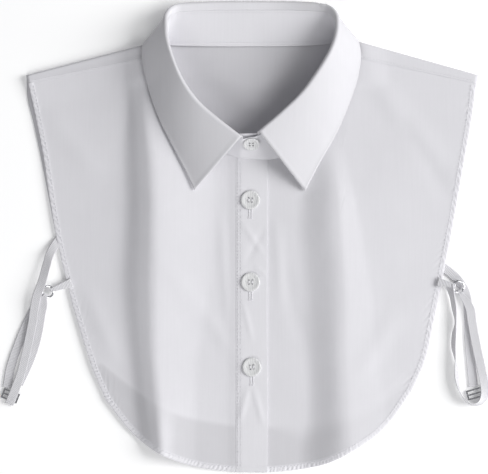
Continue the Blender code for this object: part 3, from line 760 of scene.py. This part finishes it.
cotton = cloth_material("cotton_poplin", COTTON, 0.035)
cotton_turned = cloth_material("cotton_interfaced", COTTON_TURNED, 0.02)
elastic = elastic_material()


def inset(line, depth):
    """A plan line moved to its left by depth."""
    ahead = np.gradient(line, axis=0)
    ahead /= np.linalg.norm(ahead, axis=1)[:, None]
    return line + np.stack([-ahead[:, 1], ahead[:, 0]], axis=1) * depth


def hem_strip(edge, side):
    """The folded hem: a narrow strip on the cloth's edge, drawn in by its stitches every few mm."""
    run = run_along(edge)[-1]
    line = even(edge, int(run / 0.6))
    along = np.linspace(0, run, len(line))
    ticks, at, i = [], 1.5, 0
    while at < run:
        chance = (math.sin(i * 12.9898) * 43758.5453) % 1.0
        low = 1 - float(smooth((np.interp(at, along, line[:, 1]) + 110) / 50))
        deep = HEM_TICK[side] * (0.3 + 0.7 * chance) * (1 - 0.1 * low)
        ticks.append((at, deep, TICK_WIDTH - TICK_NARROWS * low, SLANT * (1 - 0.75 * low)))
        at += (TICK_PITCH - TICK_CLOSES * low) * (0.65 + 0.7 * chance)
        i += 1
    net = []
    for depth in HEM_DEPTHS:
        x, y = inset(line, -side * depth).T
        sunk = sum(
            deep * np.exp(-(((along - place + side * slant * depth) / width) ** 2))
            for place, deep, width, slant in ticks
        )
        arch = (0.4 + 0.6 * smooth(depth)) * smooth((HEM_DEPTHS[-1] + 0.2 - depth) / HEM_FALL[side])
        lift = (2 * HEM_LIFT + HEM_SWELL[side] - sunk) * arch - HEM_SUNK
        net.append(np.stack([x, y, front_cloth(side, x, y) + lift], axis=1))
    shown = (line[:, 1] < 128) & ((line[:, 0] < BAND_LEFT + 0.5) | (line[:, 0] > BAND_RIGHT - 2))
    return np.array(net)[:, shown]


def fine_front(side, hem_points, armhole_points, seam, keys_top, keys_hem, counts):
    """One front as a thin cloth, with its rolled hem and creases."""
    neck = neckline()
    half = neck[((neck[:, 0] - CENTRE) * side > -20) & (neck[:, 1] < seam[1][1])]
    top_x = spread(keys_top, counts)
    on_seam = np.abs(top_x - CENTRE) >= abs(seam[1][0] - CENTRE) - 0.01
    at_neck = at_x(half, top_x)[:, 1]
    top = np.stack([top_x, np.where(on_seam, line_y(seam, top_x), at_neck)], axis=1)
    top[:, 1] += UNDER_STRIP * on_seam
    hem = through(hem_points, 200)
    bottom = at_x(hem, spread(keys_hem, counts))
    armhole = through(armhole_points, 200)
    outer = even(armhole, FINE_ROWS)
    outer[0], outer[-1] = top[0], bottom[0]
    inner = np.linspace(top[-1], bottom[-1], FINE_ROWS)
    plan = patch(top, bottom, outer, inner)
    x, y = plan[..., 0], plan[..., 1]
    edge = np.vstack([armhole, hem[1:]])
    gap, place = nearest(plan, edge)
    lift = hem_form(gap, place, PUCKERS[side] * smooth((140 - y) / 30), side * SLANT)
    net = np.dstack([x, y, front_cloth(side, x, y) + lift])
    word = "left" if side < 0 else "right"
    made = shell(f"{word}_front_cloth", [net, hem_strip(edge, side)], POPLIN, cotton)
    tint(made, lambda x, y: front_tone(side, x, y, edge))
    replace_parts(made, f"front_{word}")
    return made


def fine_fronts():
    left = fine_front(
        -1, HEM_FRONT_LEFT, ARMHOLE_FRONT_LEFT, SEAM_LEFT,
        (-173.2, -168, -100, -71.2, -48, BAND_LEFT, UNDER_BAND),
        (-111.2, -110, -98, -74.5, -50, BAND_LEFT, UNDER_BAND), (6, 34, 18, 16, 20, 1),
    )
    right = fine_front(
        1, HEM_FRONT_RIGHT, ARMHOLE_FRONT_RIGHT, SEAM_RIGHT,
        (184.8, 179, 106, 81, 50, -3), (133.6, 132.2, 102, 70, 46, -3), (6, 36, 18, 18, 26),
    )


def fine_back():
    """The back as a thin cloth that wraps over the shoulders to the forward seams."""
    neck = neckline()
    behind = neck[(neck[:, 1] > 153.5) & (neck[:, 0] > -66) & (neck[:, 0] < 76)]
    counts = (40, 44, 40)
    inner = (FOLD_LEFT[1][0], FOLD_RIGHT[1][0])
    top_x = spread((FOLD_LEFT[0][0], *inner, FOLD_RIGHT[0][0]), counts)
    at_neck = np.interp(top_x, behind[:, 0], behind[:, 1]) + 1.6
    on_fold = (top_x <= inner[0]) | (top_x >= inner[1])
    top = np.stack([top_x, np.where(on_fold, fold_y(top_x) - FOLD_RADIUS, at_neck)], axis=1)
    hem = through(HEM_BACK, 200)
    bottom = at_x(hem, spread((HEM_BACK[0][0], -52, 62, HEM_BACK[-1][0]), counts))
    left, right = (
        even(through(armhole, 200), 110) for armhole in (ARMHOLE_BACK_LEFT, ARMHOLE_BACK_RIGHT)
    )
    left[0], left[-1], right[0], right[-1] = top[0], bottom[0], top[-1], bottom[-1]
    plan = patch(top, bottom, left, right)
    x, y = plan[..., 0], plan[..., 1]
    gap, place = nearest(plan, np.vstack([left, hem[1:], right[::-1][1:]]))
    low = POPLIN / 2 + 0.02 - CLOTH / 2
    net = np.dstack([x, y, back_height(x, y) + low + hem_form(gap, place, BACK_PUCKERS, BACK_SLANT) / 2])
    strips = [
        fine_strip(net[0][top_x <= inner[0]], FOLD_LEFT, SEAM_LEFT),
        fine_strip(net[0][top_x >= inner[1]], FOLD_RIGHT, SEAM_RIGHT),
    ]
    made = shell("back_cloth", [net, *strips], POPLIN, cotton)
    tint(made, back_tone_and_painted_shade)
    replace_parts(made, "back_panel")


def fine_strip(columns, fold, seam):
    """Round the shoulder's fold and down the front to the forward seam."""
    x, y, low = columns.T
    high = front_height(x, y)
    net = []
    for turn in np.linspace(0, math.pi, 13):
        out, up = FOLD_RADIUS * math.sin(turn), (1 - math.cos(turn)) / 2
        net.append(np.stack([x, y + out, low + (high - low) * up], axis=1))
    share = (x - fold[0][0]) / (fold[1][0] - fold[0][0])
    seam_x = seam[0][0] + share * (seam[1][0] - seam[0][0])
    seam_y = line_y(seam, seam_x)
    for down in (*np.linspace(0, 0.97, 13)[1:], 0.985, 1.0):
        at = x + (seam_x - x) * down
        along = y + (seam_y - y) * down
        from_seam = np.hypot(at - seam_x, along - seam_y)
        ridge = STRIP_LIFT * smooth(1 - (from_seam - 1.5) / 4)
        net.append(np.stack([at, along, front_height(at, along) + ridge], axis=1))
    return np.array(net)


def fine_stand():
    """The collar stand, with its lapped ends, its ends brought down to the cloth, and a seam ridge."""
    lines = [(neck, stand_top(neck, roll, level)) for neck, roll, _, level in collar_sections(180)]
    under = np.array([0.0, STAND_CLOTH, -STAND_CLOTH])
    for i in range(1, LAP_STATIONS + 1):
        share = smooth((LAP_STATIONS + 1 - i) / LAP_STATIONS)
        lines[-i] = tuple(point + under * share for point in lines[-i])
    first, last = lines[0], lines[-1]
    over_end = [
        (first[0] + np.array([x, low, 0]), first[1] + np.array([x, high, up]))
        for x, high, low, up in through(LAP_RUN, 22)[:0:-1]
    ]
    back = np.array([-LAP_UNDER, -0.5, 0.0])
    under_end = [(last[0] + back * s, last[1] + back * s) for s in np.linspace(0, 1, 12)[1:]]
    grounded = []
    for neck, top in over_end + lines + under_end:
        rise = unit(top - neck)
        on_front = neck[1] < 150
        surface = float(front_height(neck[0], neck[1])) + 0.6 if on_front else 0.9
        drop = np.clip((neck[2] - surface) / rise[2], 0, 3.4 if on_front else 1.6)
        neck = neck - rise * drop
        inward = unit(np.array([CENTRE - neck[0], 120 - neck[1], 30]))
        grounded.append((neck, top, inward))
    net = []
    for share in STAND_HEIGHTS:
        ridge = SEAM_RIDGE * float(smooth(1 - abs(share - RIDGE_AT) / RIDGE_HALF))
        net.append([neck + (top - neck) * share + inward * ridge for neck, top, inward in grounded])
    made = shell("stand_cloth", [np.array(net)], STAND_FINE, cotton_turned)
    # Painted light: the stand is painted brighter towards the front
    tint(made, lambda x, y: 1 + STAND_PAINTED_LIGHT_FRONT * smooth((100 - y) / 20))
    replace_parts(made, "collar_stand")


def fine_fall():
    """The turned-down collar: over the roll, then out to crisp, slightly lifted edges."""
    sections = collar_sections(240)
    from_start = run_along([edge for _, _, edge, _ in sections])
    net = []
    for i, (neck, roll, edge, level) in enumerate(sections):
        front_part = smooth(level)
        rise = unit(roll - neck)
        chord = unit(edge - roll)
        out = unit(chord - rise * np.dot(chord, rise))
        sweep = math.pi + (math.atan2(np.dot(chord, out), np.dot(chord, rise)) - math.pi) * front_part
        seam = stand_top(neck, roll, level) + rise * 0.05
        inner = roll - rise * CREST_RADIUS
        points = [seam + (inner - seam) * s for s in np.linspace(0, 1, 6)[:-1]]
        for angle in np.linspace(0, sweep, 13):
            points.append(inner + CREST_RADIUS * (out * (1 - math.cos(angle)) + rise * math.sin(angle)))
        start = points[-1]
        reach = np.linalg.norm(edge - start)
        leaf = start - edge
        leaf[2] *= front_part
        knee = edge + leaf * FALL_KNEE
        near = start - rise * reach * FALL_HUG * (1 - front_part) - (start - edge) * 0.1 * front_part
        far = knee + leaf * (1 - FALL_KNEE) * 0.6
        for t in np.linspace(0, 1, 15)[1:]:
            points.append(
                (1 - t) ** 3 * start + 3 * (1 - t) ** 2 * t * near + 3 * (1 - t) * t**2 * far
                + t**3 * knee
            )
        for share in (*np.linspace(1, 0.16, 12)[1:], 0.12, 0.08, 0.04, 0):
            points.append(edge + (knee - edge) * share)
        up = np.cross(np.cross([0, 0, 1.0], chord), chord)
        up = unit(up * np.sign(up[2]))
        from_end = min(from_start[i], from_start[-1] - from_start[i])
        for k, point in enumerate(points[18:], 18):
            off = np.linalg.norm(point - edge)
            lift = smooth(1 - off / MARGIN) + smooth(1 - from_end / MARGIN) * smooth(off / MARGIN)
            bow = 4 * (off / reach) * (1 - off / reach)
            points[k] = point + up * front_part * (MARGIN_LIFT * lift + LEAF_BOW * bow)
        net.append(points)
    made = shell("fall_cloth", [np.array(net)], INTERFACED, cotton_turned)
    # Painted shade over the whole fall, and a painted highlight on its top back fold
    tint(made, lambda x, y: FALL_PAINTED_SHADE + FALL_PAINTED_LIGHT_BACK * smooth((y - 172) / 8) * smooth((45 - x) / 40))
    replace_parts(made, "collar_fall")


def fine_band():
    """The button band, with a pressed fold at its free edge and slack between the buttons."""
    right = BAND_RIGHT - BAND_TRIM
    across = np.array([BAND_LEFT, *np.linspace(BAND_LEFT + 0.2, right - 0.3, 30), right])
    x, y = np.meshgrid(across, np.linspace(BAND_TOP, BAND_BOTTOM, 240))
    x = x + 0.2 * np.sin(y / 31) * smooth((x - BAND_LEFT) / 20)
    stitched = sum(0.1 * np.exp(-(((x - line) / 0.5) ** 2)) for line in BAND_STITCHES)
    dips = sum(
        np.exp(-((np.hypot(x - at, (y - up) * 0.8) / BUTTON_DIP_RADIUS) ** 2)) for at, up in BUTTON_PLACES
    )
    hem = smooth((BAND_BOTTOM + HEM_WIDTH - y) / 0.9)
    ripple = np.sin(1.35 * y + 2 * np.sin(y / 7)) * (0.6 + 0.4 * np.sin(y / 19))
    height = (
        band_height(x, y) + crease_height(BAND_CREASES, x, y) - stitched - BUTTON_DIP * dips
        + BAND_HEM * hem - BAND_EDGE_DROP * smooth((BAND_LEFT + 4.5 - x) / 4.5)
        + BAND_RIPPLE * ripple * np.exp(-(((x - BAND_LEFT - 2.2) / 2.2) ** 2))
    )
    made = shell("band_cloth", [np.dstack([x, y, height])], INTERFACED, cotton_turned)
    tint(made)
    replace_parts(made, "placket_band")


def bead(start, end, up=(0, 0, 1), width=THREAD):
    """One stitch: a slim six-sided bead from start to end, a little arched, as points and faces."""
    start, end, up = np.array(start), np.array(end), unit(np.array(up))
    side = unit(np.cross(up, unit(end - start)))
    points = []
    for share, girth, arch in ((0, 0.35, -0.1), (0.3, 1, 0.12), (0.7, 1, 0.12), (1, 0.35, -0.1)):
        middle = start + (end - start) * share + up * arch
        for turn in np.linspace(0, 2 * math.pi, 7)[:-1]:
            offset = side * math.cos(turn) + up * math.sin(turn) * 0.8
            points.append(middle + offset * width / 2 * girth)
    faces = [[5, 4, 3, 2, 1, 0], [18, 19, 20, 21, 22, 23]]
    for low in (0, 6, 12):
        for i in range(6):
            j = (i + 1) % 6
            faces.append([low + i, low + j, low + 6 + j, low + 6 + i])
    return points, faces


def sewn(name, beads):
    """One object from all these stitches."""
    mesh = bpy.data.meshes.new(name)
    faces = [[24 * k + i for i in face] for k, (_, some) in enumerate(beads) for face in some]
    mesh.from_pydata(np.vstack([points for points, _ in beads]) * MM, [], faces)
    mesh.update()
    mesh.materials.append(cotton_turned)
    tint(placed(name, mesh))


def stitch_line(line, top):
    """Stitches along a plan line, lying on the surface of this height."""
    count = max(2, int(run_along(line)[-1] / STITCH_PITCH))
    spots = even(line, 2 * count + 1)
    made = []
    for here, ahead in zip(spots[0:-2:2], spots[2::2]):
        ends = (here, here + (ahead - here) * STITCH / STITCH_PITCH)
        made.append(bead(*((*spot, float(top(*spot))) for spot in ends)))
    return made


def seam_stitches():
    """The rows of machine stitches: hems, forward seams, and the band's left edge."""
    rows = []
    for side, armhole, hem in (
        (-1, ARMHOLE_FRONT_LEFT, HEM_FRONT_LEFT), (1, ARMHOLE_FRONT_RIGHT, HEM_FRONT_RIGHT),
    ):
        line = inset(np.vstack([through(armhole, 120), through(hem, 120)[1:]]), -side * HEM_STITCH_IN)
        line = line[(line[:, 1] < 122) & ((line[:, 0] < BAND_LEFT) | (line[:, 0] > BAND_RIGHT))]
        rise = POPLIN / 2 + HEM_LIFT + STITCH_RISE
        rows += stitch_line(line, lambda x, y: front_cloth(side, x, y) + rise)
    for start, end in (SEAM_LEFT, SEAM_RIGHT):
        rows += stitch_line(np.linspace(start, end, 60) + np.array([0, SEAM_STITCH_IN]), strip_top)
    for x in BAND_STITCHES:
        down = np.linspace(BAND_TOP - 1, BAND_BOTTOM + 1, 200)
        rows += stitch_line(np.stack([np.full(200, x), down], axis=1), band_top)
    sewn("seam_stitches", rows)


def collar_stitches():
    """Stitches inside the stand's two seams, where they show through the neck."""
    rows = []
    for share in STAND_STITCHES:
        pairs = [(neck, stand_top(neck, roll, level)) for neck, roll, _, level in collar_sections(300)]
        line = np.array([neck + (top - neck) * share for neck, top in pairs])
        inward = np.cross([unit(top - neck) for neck, top in pairs], np.gradient(line, axis=0))
        inward /= np.linalg.norm(inward, axis=1)[:, None]
        inward *= np.sign(((np.array([CENTRE, 120, 15]) - line) * inward).sum(axis=1))[:, None]
        line = line + inward * (INTERFACED / 2 + 0.02)
        run = run_along(line)
        for at in np.arange(8, int(run[-1] / STITCH_PITCH) - 8) * STITCH_PITCH:
            start, end = ([np.interp(t, run, line[:, k]) for k in range(3)] for t in (at, at + STITCH))
            rows.append(bead(start, end, [np.interp(at, run, inward[:, k]) for k in range(3)]))
    sewn("collar_stitches", rows)


def buttonholes():
    """Each buttonhole: two upright bars of close stitches and a bar tack at the foot."""
    rows = []
    for x, y in BUTTON_PLACES:
        foot = y - BUTTON_RADIUS - 6
        for side in (-1, 1):
            for at in np.arange(foot, y - BUTTON_RADIUS + 3, 0.55):
                z = float(band_top(x, at)) + 0.12
                rows.append(bead((x + side * 0.25, at, z), (x + side * 1.75, at + 0.12, z), width=0.5))
        for at in np.arange(x - 1.6, x + 1.7, 0.4):
            z = float(band_top(at, foot)) + 0.15
            rows.append(bead((at, foot - 1.1, z), (at, foot + 0.7, z), width=0.5))
    sewn("buttonhole_stitches", rows)


def button_threads():
    """Thread that crosses the button's holes in two bars."""
    rows = []
    far = BUTTON_HOLE_SPREAD / math.sqrt(2)
    for x, y in BUTTON_PLACES:
        z = button_seat(x, y) + BUTTON_FINE * 0.72
        for side in (-1, 1):
            for strand in (-0.35, 0, 0.35):
                start = (x + side * far + strand, y - far - 0.3, z)
                end = (x + side * far + strand * 0.6, y + far + 0.3, z + 0.15)
                rows.append(bead(start, end, width=0.42))
    sewn("button_threads", rows)


def button_seat(x, y):
    """The height at which a band button's underside lies."""
    return float(band_height(x, y)) + INTERFACED / 2 + 0.05


def fine_button(name, node, place, lean, radius, material):
    """A turned shirt button with a soft rim, a shallow well and four holes."""
    points = [(r * radius * MM, 0, z * BUTTON_FINE * MM) for r, z in BUTTON_PROFILE]
    mesh = bpy.data.meshes.new(name)
    mesh.from_pydata(points, [(i, i + 1) for i in range(len(points) - 1)], [])
    blank = bpy.data.objects.new(f"{name}_blank", mesh)
    turned = blank.modifiers.new("turned", "SCREW")
    turned.steps = turned.render_steps = 72
    turned.use_merge_vertices = True
    turned.merge_threshold = 0.00001
    turned.use_normal_calculate = True
    build = bmesh.new()
    hole = BUTTON_HOLE_RADIUS * 0.9 * MM
    for turn in range(4):
        angle = math.pi / 4 + turn * math.pi / 2
        spot = np.array([math.cos(angle), math.sin(angle), 0]) * BUTTON_HOLE_SPREAD * MM
        pin = bmesh.ops.create_cone(
            build, cap_ends=True, segments=20, radius1=hole, radius2=hole, depth=4 * BUTTON_FINE * MM
        )
        bmesh.ops.translate(build, verts=pin["verts"], vec=spot)
    pins = bpy.data.objects.new(f"{name}_pins", bpy.data.meshes.new(f"{name}_pins"))
    build.to_mesh(pins.data)
    build.free()
    for helper in (blank, pins):
        bpy.context.scene.collection.objects.link(helper)
    cut = blank.modifiers.new("holes", "BOOLEAN")
    cut.object = pins
    cut.operation = "DIFFERENCE"
    solid = bpy.data.meshes.new_from_object(blank.evaluated_get(bpy.context.evaluated_depsgraph_get()))
    for helper in (blank, pins):
        bpy.data.objects.remove(helper)
    solid.name = name
    solid.materials.clear()
    solid.materials.append(material)
    made = placed(name, solid)
    made.location = np.array(place) * MM
    made.rotation_euler = lean
    made.modifiers.new("edges", "EDGE_SPLIT").split_angle = math.radians(50)
    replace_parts(made, node)


def fine_buttons(material):
    for i, (x, y) in enumerate(BUTTON_PLACES):
        fine_button(f"band_button_{i + 1}", f"button_{i + 1}", (x, y, button_seat(x, y)),
                    (0, 0, 0.12 * i - 0.1), BUTTON_RADIUS - BUTTON_TRIM, material)
    neck, roll, _, level = collar_sections(60)[0]
    ahead = COLLAR_BUTTON_X - neck[0]
    high, low, up = (np.interp(ahead, *np.array(LAP_RUN).T[[0, k]]) for k in (1, 2, 3))
    top = stand_top(neck, roll, level) + np.array([ahead, high, up])
    neck = neck + np.array([ahead, low, 0])
    top[0] = neck[0] = COLLAR_BUTTON_X
    rise = unit(top - neck)
    out = unit(np.array([0.0, -rise[2], rise[1]]))
    place = neck + (top - neck) * COLLAR_BUTTON_SHARE + out * (STAND_FINE / 2 + COLLAR_BUTTON_OUT)
    lean = (math.atan2(-out[1], out[2]), 0, 0)
    fine_button("stand_button", "collar_button", place, lean, COLLAR_BUTTON_RADIUS, material)


def fine_ribbon(name, node, rows, steps):
    """A strap of woven elastic, with ribs along it. A sixth value gathers its width."""
    shares = np.linspace(-1, 1, 15)
    ribs = 0.13 * np.cos(shares * 4.5 * math.pi) ** 2
    net = []
    rows = [(*row, 1.0) if len(row) == 5 else row for row in rows]
    for x, y, z, compass, tilt, share in through(rows, steps):
        turn, lift = math.radians(compass), math.radians(tilt)
        flat = np.array([math.cos(turn), math.sin(turn), 0])
        across = flat * math.cos(lift) + np.array([0, 0, math.sin(lift)])
        up = np.array([0, 0, math.cos(lift)]) - flat * math.sin(lift)
        middle = np.array([x, y, z])
        net.append([middle + across * STRAP_WIDTH * share / 2 * s + up * r for s, r in zip(shares, ribs)])
    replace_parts(shell(name, [np.array(net)], ELASTIC, elastic), node)


def round_wire(ring, compass):
    """Rows that carry a gathered strap up round a ring's wire, its width at this compass angle."""
    turn = math.radians(compass)
    inward = np.array([-math.sin(turn), math.cos(turn)])
    wire = np.array(ring[:2]) - inward * RING_RADIUS
    bend = RING_WIRE + 1.5 * GAP + STRAP_CLOTH / 2
    rows = []
    for angle in np.radians((-90, -45, 0, 45, 90)):
        at = wire + inward * bend * math.cos(angle)
        rows.append((*at, ring[2] + bend * math.sin(angle), compass, 0.0, STRAP_GATHERED))
    return tuple(rows)


def fine_tab(name, node, start, ring):
    """The short strap from the armhole's edge, folded round the ring."""
    ahead = unit(np.array(ring[:2]) - np.array(start))
    compass = math.degrees(math.atan2(-ahead[0], ahead[1]))
    turn = round_wire(ring, compass)
    begin = (*start, turn[0][2], compass, 0.0)
    back_again = (*start, turn[0][2] + 1.5 * LAYER, compass, 0.0)
    fine_ribbon(name, node, (begin, *turn, back_again), 60)


def straps():
    """The elastic straps and tabs over their solids."""
    fine_tab("left_tab_elastic", "tab_left", (TAB_LEFT[0] + 4.6, TAB_LEFT[1] + 2), RING_LEFT)
    fine_tab("right_tab_elastic", "tab_right", (TAB_RIGHT[0] - 4.8, TAB_RIGHT[1] + 0.6), RING_RIGHT)
    left_turn = round_wire(RING_LEFT, -34.0)
    right_turn = tuple((*row[:3], row[3] + 180, *row[4:]) for row in round_wire(RING_RIGHT, 14.0))
    for name, rows, steps in (
        ("left_upper", LEFT_START + STRAP_LEFT_UPPER[1:] + LEFT_WRAP, 140),
        ("left_loop", STRAP_LEFT_LOOP + left_turn + STRAP_LEFT_RETURN, 190),
        ("right_upper", RIGHT_START + STRAP_RIGHT_UPPER, 110),
        ("right_loop", RIGHT_LOOP + right_turn, 260),
    ):
        fine_ribbon(f"{name}_elastic", f"strap_{name}", rows, steps)


def floor():
    """A wide sheet of pale paper, just under the cloth."""
    bpy.ops.mesh.primitive_plane_add(size=6, location=(0, 0, -0.0004))
    made = bpy.context.object
    made.name = "floor"
    paper, tree, shader = material(
        "pale_paper", Roughness=0.9, Emission_Color=(1, 1, 1, 1), Emission_Strength=0.14
    )
    grain = texture(tree, "ShaderNodeTexNoise", None, Scale=30.0, Detail=2.0)
    tree.links.new(blend(tree, grain, [0.97] * 3, [0.99] * 3), shader.inputs["Base Color"])
    made.data.materials.append(paper)


def area_light(name, azimuth, elevation, distance, size, power):
    """A soft square light that looks at the collar from this compass angle and height."""
    turn, lift = math.radians(azimuth), math.radians(elevation)
    away = Vector((math.cos(turn) * math.cos(lift), math.sin(turn) * math.cos(lift), math.sin(lift)))
    lamp = bpy.data.lights.new(name, "AREA")
    lamp.size = size
    lamp.energy = power
    made = bpy.data.objects.new(name, lamp)
    made.location = away * distance
    made.rotation_euler = (-away).to_track_quat("-Z", "Y").to_euler()
    bpy.context.scene.collection.objects.link(made)


def lights():
    """One large key light from the right, a weak wide fill, and a pale studio round them."""
    area_light("key", 6, 32, 3.0, 1.95, 98)
    area_light("fill", 258, 36, 3.0, 1.6, 32)
    world = bpy.data.worlds.new("studio")
    bpy.context.scene.world = world
    world.use_nodes = True
    shade = world.node_tree.nodes["Background"]
    shade.inputs["Color"].default_value = (0.96, 0.97, 1.0, 1)
    shade.inputs["Strength"].default_value = 0.235
    bpy.context.scene.view_settings.view_transform = "Standard"


def camera():
    """Straight above, with a long lens, as wide as the photo."""
    lens = bpy.data.cameras.new("camera")
    height = 4.0
    lens.sensor_width = 36
    lens.lens = 36 * height / 0.3904
    made = bpy.data.objects.new("camera", lens)
    made.location = (-0.0008, 0.0, height)
    bpy.context.scene.collection.objects.link(made)
    bpy.context.scene.camera = made


floor()
fine_back()
fine_fronts()
fine_stand()
fine_fall()
fine_band()
seam_stitches()
collar_stitches()
buttonholes()
button_threads()
straps()
fine_buttons(pearl_material())
plated = plated_material()
for node in ("ring_left", "ring_right", "slider_left", "slider_right"):
    for holder in bpy.data.objects[node].material_slots:
        holder.material = plated
lights()
camera()
